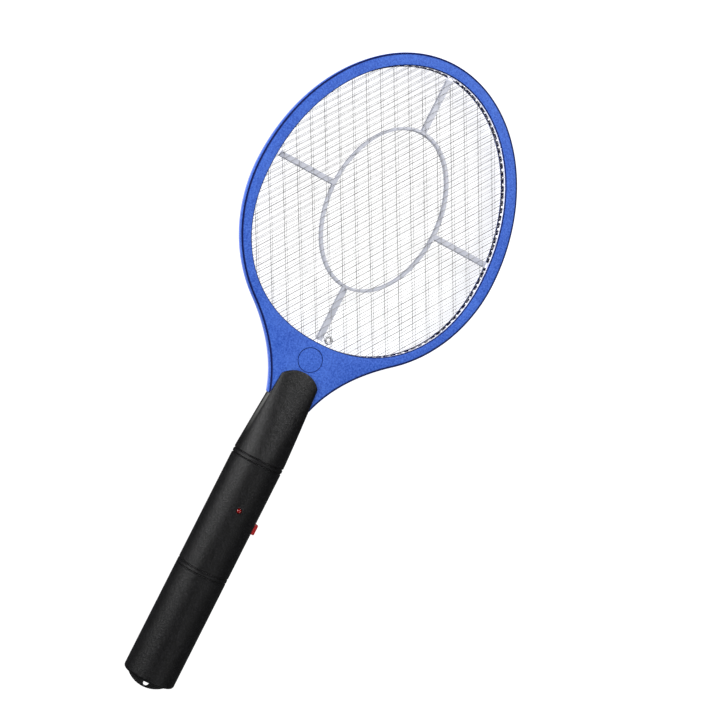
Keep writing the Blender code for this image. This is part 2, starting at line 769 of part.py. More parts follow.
def hang_tab():
    radius = (TAB_HALF_CHORD**2 + TAB_LENGTH**2) / (2 * TAB_LENGTH)
    centre_y = TAB_END_Y + radius
    root_y = BUTT_Y + END_WALL * 0.6
    half_turn = math.acos((centre_y - root_y) / radius)
    edge = arc((0, centre_y), radius, -math.pi / 2 - half_turn, -math.pi / 2 + half_turn, 12)
    hole = arc((0, BUTT_Y - TAB_HOLE_OUT), TAB_HOLE_RADIUS, 0, 2 * math.pi, 16)[:-1]
    low = FIT_GAP + HALF_GAP
    return add_tool("hang_tab", plate_mesh("hang_tab", [edge, hole], low, low + TAB_THICKNESS))


def bulkhead():
    inner = HANDLE_RADIUS - SHELL_WALL
    grown = inner + BULKHEAD_BITE
    free = inner - BULKHEAD_CLEARANCE
    flat_z = -(inner - LATCH_THICKNESS - LATCH_CLEARANCE)
    first = math.asin(FIT_GAP / grown)
    low_turn = math.asin(flat_z / free)
    upper = arc((0, 0), grown, first, math.pi - first, 14)
    lower_left = arc((0, 0), free, math.pi, math.pi - low_turn, 4)
    lower_right = [(-x, z) for x, z in reversed(lower_left)]
    outline = upper + lower_left + lower_right
    holes = [
        arc((x, LEAD_HOLE_Z), LEAD_HOLE_RADIUS, 0, 2 * math.pi, 12)[:-1]
        for x in (-LEAD_HOLE_X, LEAD_HOLE_X)
    ]
    return plate_across("bulkhead", [outline] + holes, BULKHEAD_Y, BULKHEAD_Y + BULKHEAD_WALL)


def screw_places():
    return (LOWER_SCREW_Y, UPPER_SCREW_Y, NECK_SCREW_Y)


def boss_end(y):
    # How far a boss reaches from the mid-plane, to end inside the shell's wall.
    return section(y)[1] - SHELL_WALL * WALL_BITE


def neck_cut(side):
    # Clears the head's faces in front of the neck's shoulder, under the tongue.
    low, high = heights(side, -2 * PAST, HEAD_HALF_DEPTH + FIT_GAP)
    box = box_mesh(f"neck_cut_{side}", (-FAR, NECK_SHOULDER_Y, low), (FAR, NECK_END_Y + FAR, high))
    return add_tool(f"neck_cut_{side}", box)


def lip_cut(side):
    # Everything beyond the arched lip.
    centre_y = LIP_TIP_Y - LIP_RADIUS
    turn = math.acos(LIP_CUT_HALF_WIDTH / LIP_RADIUS)
    edge = arc((0, centre_y), LIP_RADIUS, math.pi - turn, turn, 16)
    far_y = NECK_END_Y + FAR
    outline = [(-FAR, edge[0][1])] + edge + [(FAR, edge[0][1]), (FAR, far_y), (-FAR, far_y)]
    low, high = heights(side, -PAST, FAR)
    return add_tool(f"lip_cut_{side}", plate_mesh(f"lip_cut_{side}", [outline], low, high))


def button_slot():
    half_length = BUTTON_LENGTH / 2 + BUTTON_CLEARANCE
    half_height = BUTTON_HEIGHT / 2 + BUTTON_CLEARANCE
    low = (HANDLE_RADIUS * 0.6, BUTTON_Y - half_length, -half_height)
    high = (FAR, BUTTON_Y + half_length, half_height)
    return add_tool("button_slot", box_mesh("button_slot", low, high))


def make_front_shell(slot):
    shell = make_shell("front_handle_shell", 1, stations(SHELL_END_Y, NECK_END_Y))
    join(shell, end_wall("front_end_wall", 1))
    join(shell, hang_tab())
    join(shell, bulkhead())
    bosses = [(0, y, FRONT_BOSS_RADIUS, BOSS_MEET_Z + HALF_GAP, boss_end(y)) for y in screw_places()]
    join(shell, add_tool("front_bosses", cylinders_mesh("front_bosses", bosses)))
    hole = SCREW_RADIUS + FIT_GAP
    holes = [(0, y, hole, BOSS_MEET_Z - PAST, SCREW_TIP_Z + FIT_GAP) for y in screw_places()]
    led = LED_RADIUS + LED_CLEARANCE
    holes.append((0, LED_Y, led, HANDLE_RADIUS - SHELL_WALL - PAST, FAR))
    cut(shell, add_tool("front_holes", cylinders_mesh("front_holes", holes)))
    cut(shell, slot)
    cut(shell, neck_cut(1))
    cut(shell, lip_cut(1))
    return shell


def board_rib(name, y):
    radius = HANDLE_RADIUS - SHELL_WALL / 2
    top = BOARD_TOP - BOARD_THICKNESS - FIT_GAP
    turn = math.asin(top / radius)
    outline = arc((0, 0), radius, math.pi - turn, 2 * math.pi + turn, 16)
    return plate_across(name, [outline], y, y + BOARD_RIB)


def make_rear_shell(slot):
    rings = stations(DOOR_SPLIT_Y + HALF_GAP, NECK_END_Y)
    rings[0] = (DOOR_SPLIT_Y + HALF_GAP, GROOVE_DEPTH)
    shell = make_shell("rear_handle_shell", -1, rings)
    join(shell, board_rib("lower_rib", BOARD_LOW_Y + BOARD_RIB_INSET))
    join(shell, board_rib("upper_rib", BOARD_TOP_Y - BOARD_RIB_INSET))
    bosses = [(0, y, REAR_BOSS_RADIUS, -boss_end(y), BOSS_MEET_Z - HALF_GAP) for y in screw_places()]
    join(shell, add_tool("rear_bosses", cylinders_mesh("rear_bosses", bosses)))
    hole = SCREW_RADIUS + FIT_GAP
    seat = SCREW_HEAD_RADIUS + FIT_GAP
    holes = [(0, y, hole, SCREW_SEAT_Z - PAST, 0) for y in screw_places()]
    seats = [(0, y, seat, -FAR, SCREW_SEAT_Z) for y in screw_places()]
    cut(shell, add_tool("rear_holes", cylinders_mesh("rear_holes", holes)))
    cut(shell, add_tool("rear_seats", cylinders_mesh("rear_seats", seats)))
    cut(shell, slot)
    cut(shell, neck_cut(-1))
    cut(shell, lip_cut(-1))
    return shell


def door_latch():
    # A tongue on the door's inner end that tucks under the rear shell, as an L seen from the side.
    inner = HANDLE_RADIUS - SHELL_WALL
    outer_z = -math.sqrt(inner**2 - LATCH_HALF_WIDTH**2) + FIT_GAP
    top_z = outer_z + LATCH_THICKNESS
    root_z = -(HANDLE_RADIUS - SHELL_WALL * (1 - WALL_BITE))
    end_y = DOOR_SPLIT_Y - HALF_GAP
    profile = [
        (end_y - LATCH_ROOT, root_z),
        (end_y - LATCH_STEP, root_z),
        (end_y - LATCH_STEP, outer_z),
        (end_y + LATCH_LENGTH, outer_z),
        (end_y + LATCH_LENGTH, top_z),
        (end_y - LATCH_ROOT, top_z),
    ]
    mesh = plate_mesh("door_latch", [profile], -LATCH_HALF_WIDTH, LATCH_HALF_WIDTH)
    return add_tool("door_latch", mesh, rotation=(math.pi / 2, 0, math.pi / 2))


def make_door():
    end_y = DOOR_SPLIT_Y - HALF_GAP
    rings = stations(SHELL_END_Y, end_y)
    rings[-1] = (end_y, GROOVE_DEPTH)
    door = make_shell("battery_door", -1, rings)
    join(door, end_wall("door_end_wall", -1))
    change(door, door_latch(), "UNION", "MANIFOLD")
    return door


def make_handle_screw(name, y):
    top = SCREW_TIP_Z
    seat = SCREW_SEAT_Z - FIT_GAP
    profile = [
        (0, top),
        (SCREW_RADIUS * 0.5, top),
        (SCREW_RADIUS, top - SCREW_POINT),
        (SCREW_RADIUS, seat),
        (SCREW_HEAD_RADIUS, seat),
        (SCREW_HEAD_RADIUS, seat - SCREW_HEAD_HEIGHT * 0.6),
        (SCREW_HEAD_RADIUS * 0.6, seat - SCREW_HEAD_HEIGHT),
        (0, seat - SCREW_HEAD_HEIGHT),
    ]
    turned_part(name, profile, "steel", (0, y, 0), steps=12)


# ---- battery compartment -------------------------------------------------------------------------


def bridge_face():
    # The bridge plate's face towards the cells.
    return BUTT_Y + END_WALL + FIT_GAP + CONTACT_THICKNESS


def contact_face():
    return BULKHEAD_Y - FIT_GAP - CONTACT_THICKNESS


def make_cell(name, x, low_y, nub_towards_head):
    body = CELL_LENGTH - CELL_NUB_HEIGHT
    profile = [
        (0, CELL_LENGTH),
        (CELL_NUB_RADIUS, CELL_LENGTH),
        (CELL_NUB_RADIUS, body),
        (CELL_RADIUS - CELL_EDGE, body),
        (CELL_RADIUS, body - CELL_EDGE),
        (CELL_RADIUS, CELL_EDGE),
        (CELL_RADIUS - CELL_EDGE, 0),
        (0, 0),
    ]
    if nub_towards_head:
        location, rotation = (x, low_y, 0), (-math.pi / 2, 0, 0)
    else:
        location, rotation = (x, low_y + CELL_LENGTH, 0), (math.pi / 2, 0, 0)
    turned_part(name, profile, "cell_wrap", location, rotation, steps=20)


def make_contact(name, low_x, high_x, low_y):
    low = (low_x, low_y, -CONTACT_HALF_HEIGHT)
    high = (high_x, low_y + CONTACT_THICKNESS, CONTACT_HALF_HEIGHT)
    add_part(name, box_mesh(name, low, high), "spring_steel")


def make_spring(name, x, wide_y, small_y):
    # A cone of wire from its contact plate to the flat end of a cell.
    away = math.copysign(SPRING_WIRE_RADIUS + FIT_GAP, small_y - wide_y)
    start, end = wide_y + away, small_y - away
    steps = SPRING_TURNS * 8
    points = []
    for step in range(steps + 1):
        share = step / steps
        radius = SPRING_WIDE_RADIUS + (SPRING_SMALL_RADIUS - SPRING_WIDE_RADIUS) * share
        a = 2 * math.pi * SPRING_TURNS * share
        points.append((x + radius * math.cos(a), start + (end - start) * share, radius * math.sin(a)))
    tube_part(name, points, SPRING_WIRE_RADIUS, "spring_steel")


def make_battery_compartment():
    upper_face, lower_face = contact_face(), bridge_face()
    right_low = upper_face - FIT_GAP - CELL_LENGTH
    left_low = lower_face + FIT_GAP
    make_cell("battery_cell_right", CELL_X, right_low, True)
    make_cell("battery_cell_left", -CELL_X, left_low, False)
    make_contact(
        "positive_contact", CELL_X - CONTACT_HALF_WIDTH, CELL_X + CONTACT_HALF_WIDTH, upper_face
    )
    make_contact(
        "negative_contact", -CELL_X - CONTACT_HALF_WIDTH, -CELL_X + CONTACT_HALF_WIDTH, upper_face
    )
    make_contact(
        "bridge_plate",
        -CELL_X - CONTACT_HALF_WIDTH,
        CELL_X + CONTACT_HALF_WIDTH,
        lower_face - CONTACT_THICKNESS,
    )
    make_spring("negative_spring", -CELL_X, upper_face, left_low + CELL_LENGTH)
    make_spring("bridge_spring", CELL_X, lower_face, right_low)


def make_battery_lead(name, side, finish):
    # Through the bulkhead, past the lower screw's boss, to the board's lower end.
    end_z = BOARD_TOP + FIT_GAP + LEAD_RADIUS
    x = LEAD_HOLE_X * side
    points = [
        (x, BULKHEAD_Y - 0.0012, LEAD_HOLE_Z),
        (x, BULKHEAD_Y + 0.005, LEAD_HOLE_Z),
        (x * 1.05, BULKHEAD_Y + 0.012, LEAD_HOLE_Z * 0.75),
        (x * 0.95, BULKHEAD_Y + 0.019, LEAD_HOLE_Z * 0.3),
        (x, BOARD_LOW_Y - 0.001, end_z + 0.0006),
        (x, BOARD_LOW_Y + 0.004, end_z),
    ]
    tube_part(name, smooth_route(points), LEAD_RADIUS, finish)


# ---- circuit, button and lamp --------------------------------------------------------------------


def board_box(name, x, y, size, finish, edge=0.0005):
    # A component that stands on the board, with its middle at x, y.
    base = BOARD_TOP + FIT_GAP
    low = (x - size[0] / 2, y - size[1] / 2, base)
    high = (x + size[0] / 2, y + size[1] / 2, base + size[2])
    part = add_part(name, box_mesh(name, low, high), finish)
    if edge:
        round_edges(part, edge)
    return part


def make_board():
    low = (-BOARD_HALF_WIDTH, BOARD_LOW_Y, BOARD_TOP - BOARD_THICKNESS)
    high = (BOARD_HALF_WIDTH, BOARD_TOP_Y, BOARD_TOP)
    add_part("circuit_board", box_mesh("circuit_board", low, high), "board_green")


def make_transformer(y):
    width, thickness, height = 0.016, 0.007, 0.012
    leg, yoke, window = 0.004, 0.002, 0.003
    core = board_box("transformer_core", 0, y, (width, thickness, height), "ferrite", 0)
    base = BOARD_TOP + FIT_GAP
    window_low, window_high = base + yoke, base + height - yoke
    for side in (-1, 1):
        near, far = sorted((side * leg / 2, side * (leg / 2 + window)))
        mesh = box_mesh(
            f"core_window_{side}", (near, y - 0.01, window_low), (far, y + 0.01, window_high)
        )
        cut(core, add_tool(f"core_window_{side}", mesh))
    inner_x, inner_y = leg / 2 + FIT_GAP, thickness / 2 + FIT_GAP
    outer_x, outer_y = leg / 2 + window - FIT_GAP, thickness / 2 + window
    ring = [
        [(-outer_x, y - outer_y), (outer_x, y - outer_y), (outer_x, y + outer_y), (-outer_x, y + outer_y)],
        [(-inner_x, y - inner_y), (inner_x, y - inner_y), (inner_x, y + inner_y), (-inner_x, y + inner_y)],
    ]
    plate_part(
        "transformer_winding", ring, window_low + FIT_GAP, window_high - FIT_GAP, "winding_tape"
    )


def make_lying_component(name, x, y, radius, length, finish):
    # A diode or a resistor, lying across the board.
    edge = radius * 0.25
    profile = [
        (0, length / 2),
        (radius - edge, length / 2),
        (radius, length / 2 - edge),
        (radius, -length / 2 + edge),
        (radius - edge, -length / 2),
        (0, -length / 2),
    ]
    z = BOARD_TOP + FIT_GAP + radius
    turned_part(name, profile, finish, (x, y, z), (0, math.pi / 2, 0), steps=12)


def make_transistor(x, y):
    radius, height = 0.0024, 0.0048
    base = BOARD_TOP + FIT_GAP + 0.001
    outline = arc((x, y), radius, math.radians(-30), math.radians(210), 12)
    plate_part("transistor", [outline], base, base + height, "component_black")


def make_circuit():
    # Every y is measured from the board's lower end.
    make_board()
    make_transformer(BOARD_LOW_Y + 0.014)
    storage = (0.0065, 0.015, 0.010)
    board_box("storage_capacitor", -0.0072, BOARD_LOW_Y + 0.0335, storage, "film_red", 0.001)
    booster = (0.0045, 0.009, 0.0075)
    for number, y in enumerate((0.0395, 0.0505), 1):
        board_box(f"booster_capacitor_{number}", 0.0070, BOARD_LOW_Y + y, booster, "film_red", 0.0008)
    for number, y in enumerate((0.0450, 0.0495, 0.0540), 1):
        make_lying_component(
            f"diode_{number}", -0.0065, BOARD_LOW_Y + y, 0.0012, 0.005, "component_black"
        )
    for number, y in enumerate((0.0235, 0.0435), 1):
        make_lying_component(
            f"resistor_{number}", 0, BOARD_LOW_Y + y, 0.0011, 0.006, "resistor_tan"
        )
    make_transistor(-0.0085, BOARD_LOW_Y + 0.0225)


def button_inner_face():
    return math.sqrt((HANDLE_RADIUS - SHELL_WALL) ** 2 - flange_half_height() ** 2) - FIT_GAP


def flange_half_height():
    return BUTTON_HEIGHT / 2 + BUTTON_FLANGE_MARGIN


def make_button():
    # Its origin lies on its line of travel, at the handle's surface.
    origin = (HANDLE_RADIUS, BUTTON_Y, 0)
    outer = BUTTON_PROUD
    flange_top = button_inner_face() - HANDLE_RADIUS
    flange_low = flange_top - BUTTON_FLANGE
    low = (flange_top - BUTTON_FLANGE / 2, -BUTTON_LENGTH / 2, -BUTTON_HEIGHT / 2)
    high = (outer, BUTTON_LENGTH / 2, BUTTON_HEIGHT / 2)
    button = add_part("push_button", box_mesh("push_button", low, high), "red_plastic", origin)
    round_edges(button, 0.0005)
    half_length = BUTTON_LENGTH / 2 + BUTTON_FLANGE_MARGIN
    flange = box_mesh(
        "button_flange",
        (flange_low, -half_length, -flange_half_height()),
        (flange_top, half_length, flange_half_height()),
    )
    join(button, add_tool("button_flange", flange, origin))
    return flange_low + HANDLE_RADIUS


def make_switch(button_face):
    body = add_part(
        "switch_body",
        box_mesh(
            "switch_body",
            (SWITCH_X - SWITCH_LENGTH, BUTTON_Y - SWITCH_SIDE / 2, -SWITCH_SIDE / 2),
            (SWITCH_X, BUTTON_Y + SWITCH_SIDE / 2, SWITCH_SIDE / 2),
        ),
        "component_black",
    )
    bore_radius = PLUNGER_RADIUS + PLUNGER_CLEARANCE
    bore_end = PLUNGER_INSIDE + BUTTON_TRAVEL + FIT_GAP
    bore = cylinders_mesh("switch_bore", [(0, 0, bore_radius, -bore_end, 0.002)])
    cut(body, add_tool("switch_bore", bore, (SWITCH_X, BUTTON_Y, 0), (0, math.pi / 2, 0)))
    top = button_face - FIT_GAP - SWITCH_X
    profile = [
        (0, top),
        (PLUNGER_RADIUS * 0.8, top),
        (PLUNGER_RADIUS, top - PLUNGER_RADIUS * 0.3),
        (PLUNGER_RADIUS, -PLUNGER_INSIDE),
        (0, -PLUNGER_INSIDE),
    ]
    turned_part("switch_plunger", profile, "red_plastic", (SWITCH_X, BUTTON_Y, 0), (0, math.pi / 2, 0))


def make_led():
    top = HANDLE_RADIUS + LED_PROUD
    flange_top = HANDLE_RADIUS - SHELL_WALL - FIT_GAP * 2
    flange_low = flange_top - LED_FLANGE_HEIGHT
    profile = []
    for step in range(5):
        a = math.pi / 2 * (1 - step / 4)
        profile.append((LED_RADIUS * math.cos(a), top - LED_RADIUS * (1 - math.sin(a))))
    profile[0] = (0, top)
    profile += [
        (LED_RADIUS, flange_top),
        (LED_FLANGE_RADIUS, flange_top),
        (LED_FLANGE_RADIUS, flange_low),
        (0, flange_low),
    ]
    turned_part("power_led", profile, "red_lens", (0, LED_Y, 0))
    for name, x in (("led_lead_anode", LED_LEAD_X), ("led_lead_cathode", -LED_LEAD_X)):
        points = [(x, LED_Y, flange_low - FIT_GAP), (x, LED_Y, BOARD_TOP + FIT_GAP)]
        tube_part(name, points, LED_LEAD_RADIUS, "steel")


def make_grid_lead(name, side, end_x, end_y, end_z, finish):
    # From the board's upper end, past the neck screw, along the tang and into the throat.
    start_z = BOARD_TOP + FIT_GAP + LEAD_RADIUS
    x = (TANG_HALF_WIDTH - FRAME_WALL - LEAD_RADIUS - 0.0012) * side
    points = [
        (x * 0.8, BOARD_TOP_Y - 0.0025, start_z),
        (x * 0.8, BOARD_TOP_Y + 0.001, start_z + 0.0002),
        (x, UPPER_SCREW_Y + 0.004, start_z + 0.0025),
        (x, TANG_END_Y - 0.006, 0),
        (x, TANG_END_Y + 0.004, 0),
        (x, NECK_SCREW_Y, 0),
        (x, NECK_SHOULDER_Y, 0),
        (x * 0.85, NECK_SHOULDER_Y + 0.014, end_z * 0.4),
        (end_x, end_y - 0.009, end_z),
        (end_x, end_y, end_z),
    ]
    tube_part(name, smooth_route(points, 2), LEAD_RADIUS, finish)


# ---- assembly ------------------------------------------------------------------------------------

make_frame("front_frame", 1)
make_frame("rear_frame", -1)
make_throat_screw("throat_screw_left", -THROAT_SCREW_X)
make_throat_screw("throat_screw_right", THROAT_SCREW_X)
make_grid("front_grid", GRID_LOW, GRID_TOP, 0)
make_grid("middle_grid", -MIDDLE_GRID_TOP, MIDDLE_GRID_TOP, 0.25)
make_grid("rear_grid", -GRID_TOP, -GRID_LOW, 0.5)
make_spacer("front_spacer", 1)
make_spacer("rear_spacer", -1)
make_eyelet("front_contact_eyelet", 1)
make_eyelet("rear_contact_eyelet", -1)

SLOT = button_slot()
make_front_shell(SLOT)
make_rear_shell(SLOT)
make_door()
make_handle_screw("handle_screw_lower", LOWER_SCREW_Y)
make_handle_screw("handle_screw_upper", UPPER_SCREW_Y)
make_handle_screw("neck_screw", NECK_SCREW_Y)

make_battery_compartment()
make_battery_lead("battery_lead_red", 1, "lead_red")
make_battery_lead("battery_lead_black", -1, "lead_black")

make_circuit()
make_switch(make_button())
make_led()
LEAD_END_Y = OPENING_BOTTOM_Y - SPACER_REACH - LEAD_RADIUS - FIT_GAP
make_grid_lead("grid_lead_outer", 1, 0.004, LEAD_END_Y, 0.0022, "lead_white")
make_grid_lead("grid_lead_inner", -1, -0.004, LEAD_END_Y, 0, "lead_red")
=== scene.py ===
import math
import random

import bmesh
import bpy
from mathutils import Matrix, Vector


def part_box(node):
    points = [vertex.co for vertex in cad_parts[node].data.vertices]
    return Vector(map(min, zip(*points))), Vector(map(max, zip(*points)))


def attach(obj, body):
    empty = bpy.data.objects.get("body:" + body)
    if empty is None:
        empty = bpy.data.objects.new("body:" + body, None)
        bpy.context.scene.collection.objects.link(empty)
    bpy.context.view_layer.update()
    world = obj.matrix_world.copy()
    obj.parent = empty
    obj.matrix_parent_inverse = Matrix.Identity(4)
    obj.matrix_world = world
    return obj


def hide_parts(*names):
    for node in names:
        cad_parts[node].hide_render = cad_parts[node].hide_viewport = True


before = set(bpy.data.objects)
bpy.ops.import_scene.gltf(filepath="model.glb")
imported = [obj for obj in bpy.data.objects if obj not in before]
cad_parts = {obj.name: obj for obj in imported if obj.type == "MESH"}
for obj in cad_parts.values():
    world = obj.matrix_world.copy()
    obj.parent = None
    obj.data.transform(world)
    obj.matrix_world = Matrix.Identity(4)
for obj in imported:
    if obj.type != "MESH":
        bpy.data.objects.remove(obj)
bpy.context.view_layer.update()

# Shapes are worked out in millimetres, with z measured from the plane where the two halves of every
# moulding meet. settle() turns them into metres and lifts them to where the frame has them.

metre = 1000
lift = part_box("battery_door")[1].x * metre
random.seed(7)


def span(node):
    # lowest and highest corner of a node in millimetres from the parting plane
    return [Vector(corner) * metre - Vector((0, 0, lift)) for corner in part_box(node)]


def middleOf(node):
    low, high = span(node)
    return (low + high) / 2


# the head's outline, which its frames, grids, spacers and finishes share
frameLow, frameHigh = span("front_frame")
head = {
    "halfWidth": frameHigh.x,
    "tip": frameHigh.y,
    "face": frameHigh.z,
    "wall": 1.8,
    "topLength": 116.1,  # widest place to tip
    "lowLength": 99.0,
    "rim": 8.7,
    "rimTop": 8.5,
    "openingLow": 87.9,
    "squareness": 2.2,  # of the opening's lower half
    "flareAngle": math.radians(-54.3),
    "flarePulls": (20.0, 22.0),
    "flareSlope": 0.3,
    "shoulder": -20.0,
    "shoulderHalfWidth": 15.4,
    "tangHalfWidth": 11.0,
    "tangEnd": frameLow.y,
    "gap": 0.15,  # from the parting plane
    "outerRounding": 2.0,
    "innerRounding": 0.8,
    "beyond": 130,  # further than the head reaches from its middle
}
widestY = head["tip"] - head["topLength"]
openingHalfWidth = head["halfWidth"] - head["rim"]
openingTop = head["topLength"] - head["rimTop"]
openingMiddle = widestY + (openingTop - head["openingLow"]) / 2
openingBottom = widestY - head["openingLow"]


class Value:
    # one socket of a finish; sums and products on it add the nodes that work them out
    def __init__(self, finish, socket):
        self.finish = finish
        self.socket = socket

    def work(self, operation, first, second=0.0):
        return self.finish.add("ShaderNodeMath", {"operation": operation}, {0: first, 1: second})

    def __add__(self, other):
        return self.work("ADD", self, other)

    __radd__ = __add__

    def __sub__(self, other):
        return self.work("SUBTRACT", self, other)

    def __rsub__(self, other):
        return self.work("SUBTRACT", other, self)

    def __mul__(self, other):
        return self.work("MULTIPLY", self, other)

    __rmul__ = __mul__

    def __truediv__(self, other):
        return self.work("DIVIDE", self, other)

    def __rtruediv__(self, other):
        return self.work("DIVIDE", other, self)

    def __gt__(self, other):
        return self.work("GREATER_THAN", self, other)

    def __lt__(self, other):
        return self.work("LESS_THAN", self, other)

    def sine(self):
        return self.work("SINE", self)


class Finish:
    # a material being made: one Principled shader and what feeds it
    def __init__(self, name, **uniform):
        self.material = bpy.data.materials.new(name)
        self.material.use_nodes = True
        self.tree = self.material.node_tree
        self.shader = self.tree.nodes["Principled BSDF"]
        for socket, value in uniform.items():
            self.shader.inputs[socket.replace("_", " ")].default_value = value

    def add(self, kind, settings=None, sockets=None, output=0):
        node = self.tree.nodes.new(kind)
        for key, value in (settings or {}).items():
            if key == "stops":
                self.setStops(node.color_ramp, value)
            else:
                setattr(node, key, value)
        for key, value in (sockets or {}).items():
            if isinstance(value, Value):
                self.tree.links.new(value.socket, node.inputs[key])
            else:
                node.inputs[key].default_value = value
        return Value(self, node.outputs[output])

    def setStops(self, ramp, stops):
        while len(ramp.elements) < len(stops):
            ramp.elements.new(0.5)
        for element, (place, colour) in zip(ramp.elements, stops):
            element.position = place
            element.color = (*colour, 1)

    def feed(self, socket, value):
        self.tree.links.new(value.socket, self.shader.inputs[socket])

    def place(self):
        return self.add("ShaderNodeTexCoord", output="Object")

    def axis(self, name):
        return self.add("ShaderNodeSeparateXYZ", None, {0: self.place()}, name)

    def grain(self, grainSize, detail=2.0, roughness=0.5):
        # noise whose features are about grainSize millimetres across
        sockets = {"Vector": self.place(), "Scale": metre / grainSize}
        sockets |= {"Detail": detail, "Roughness": roughness}
        return self.add("ShaderNodeTexNoise", None, sockets, "Fac")

    def between(self, value, low, high, fromLow=0.3, fromHigh=0.7):
        sockets = {"Value": value, "From Min": fromLow, "From Max": fromHigh, "To Min": low, "To Max": high}
        return self.add("ShaderNodeMapRange", None, sockets)

    def blend(self, factor, first, second):
        mix = self.add("ShaderNodeMix", {"data_type": "RGBA"}, {0: factor}, 2)
        for key, value in ((6, first), (7, second)):
            if isinstance(value, Value):
                self.tree.links.new(value.socket, mix.socket.node.inputs[key])
            else:
                mix.socket.node.inputs[key].default_value = (*value, 1)
        return mix

    def bands(self, along, stops):
        # plain bands with sharp ends
        ramp = self.add("ShaderNodeValToRGB", {"stops": stops}, {"Fac": along})
        ramp.socket.node.color_ramp.interpolation = "CONSTANT"
        return ramp

    def mottle(self, pattern, first, second, fromLow=0.3, fromHigh=0.7):
        # two tones that follow a pattern
        return self.blend(self.between(pattern, 0.0, 1.0, fromLow, fromHigh), first, second)

    def relief(self, height, depth, strength=1.0):
        # depth is in millimetres
        sockets = {"Height": height, "Distance": depth / metre, "Strength": strength}
        self.feed("Normal", self.add("ShaderNodeBump", None, sockets))

    def ovalShare(self, halfWidth, topLength, lowLength):
        # 0 in the middle of the head, 1 on an egg-shaped oval round it, and more outside
        over = self.axis("X") * metre / halfWidth
        up = self.axis("Y") * metre - widestY
        tall = up * (up > 0) / topLength + up * (up < 0) / lowLength
        return over * over + tall * tall


def bluePlastic(name, paintedLitWallTone):
    look = {
        "colour": (0.018, 0.072, 0.44),
        "light": (0.082, 0.20, 0.74),
        # painted shade: the edge and channel tones below
        "edge": (0.004, 0.008, 0.075),
        "channelShade": (0.003, 0.005, 0.035),
        "speckle": 1.15,  # grain sizes
        "haze": 26.0,
        "edgeDepth": 0.95,  # below the face
        "channelDepth": 4.2,  # below the parting plane
        "wallDepth": 4.9,
        "wallEnd": -19,  # where the neck covers it
        "discReach": 110,  # square of how far the throat's disc reaches, with some to spare
    }
    face = head["face"]
    finish = Finish(name, IOR=1.5, Specular_IOR_Level=0.14)
    over, along = finish.axis("X") * metre, finish.axis("Y") * metre
    height = finish.axis("Z") * metre - lift
    speckle = finish.grain(look["speckle"], 3.0, 0.8)
    haze = finish.grain(look["haze"])
    tone = finish.between(speckle, 0.0, 0.85, 0.36, 0.64) + finish.between(haze, 0.0, 0.25)
    blue = finish.blend(tone, look["colour"], look["light"])
    # a painted reflection: the outer wall of the rear half is painted paler, as if lit from the side
    inside = finish.ovalShare(head["halfWidth"], head["topLength"], head["lowLength"]) < 0.955
    wall = (1 - inside) * (height > -look["wallDepth"]) * (height < 0) * (along > look["wallEnd"])
    paintedLitWall = finish.blend(wall, blue, paintedLitWallTone)
    # painted shade, which hides the grain, on the rolled edge of the front face and in the groove round the
    # throat's disc
    throat = (along < openingBottom - 1.1) * (over * over < look["discReach"])
    paintedShade = finish.between(height, 1.0, 0.0, face - 0.14, face - 0.02)
    paintedShade = paintedShade * (height > face - look["edgeDepth"]) * (1 - throat)
    paintedShade = paintedShade + throat * finish.between(height, 0.85, 0.0, face - 0.5, face - 0.4) * (height > 0)
    edgeShaded = finish.blend(paintedShade, paintedLitWall, look["edge"])
    # painted shade: the channel behind the wire grids is painted dark
    channelShade = inside * (height > -look["channelDepth"]) * (height < 0)
    finish.feed("Base Color", finish.blend(channelShade, edgeShaded, look["channelShade"]))
    finish.feed("Roughness", finish.between(speckle, 0.40, 0.58) + paintedShade * 0.4)
    finish.relief(speckle, 0.1, 0.8)
    return finish.material


def blackPlastic():
    look = {
        "colour": (0.0018, 0.0018, 0.0021),
        "worn": (0.016, 0.016, 0.018),
        # painted reflection on the neck's flanks
        "flankSheen": (0.13, 0.13, 0.125),
        "spark": 1.2,  # grain sizes
        "rub": 16.0,
        "flankStart": -50,
        "flankEnd": -18,
    }
    finish = Finish("blackPlastic", IOR=1.5, Specular_IOR_Level=0.29)
    spark = finish.grain(look["spark"], 3.0, 0.8)
    rub = finish.grain(look["rub"], 3.0)
    tone = finish.between(spark, 0.0, 0.9, 0.5, 0.68) + finish.between(rub, 0.0, 0.1, 0.45, 0.7)
    black = finish.blend(tone, look["colour"], look["worn"])
    # a painted reflection: the upright flanks of the neck are painted a light grey, bare of grain
    facing = finish.add("ShaderNodeTexCoord", output="Normal")
    sideways = finish.add("ShaderNodeSeparateXYZ", None, {0: facing}, "X")
    along, height = finish.axis("Y") * metre, finish.axis("Z") * metre - lift
    flankSheen = finish.between(sideways * sideways, 0.0, 1.0, 0.86, 0.93) * (height > 0.3)
    flankSheen = flankSheen * finish.between(along, 0.0, 1.0, look["flankStart"], -24) * (along < look["flankEnd"])
    finish.feed("Base Color", finish.blend(flankSheen, black, look["flankSheen"]))
    finish.feed("Roughness", finish.between(spark, 0.44, 0.32))
    finish.relief(spark, 0.3)
    return finish.material


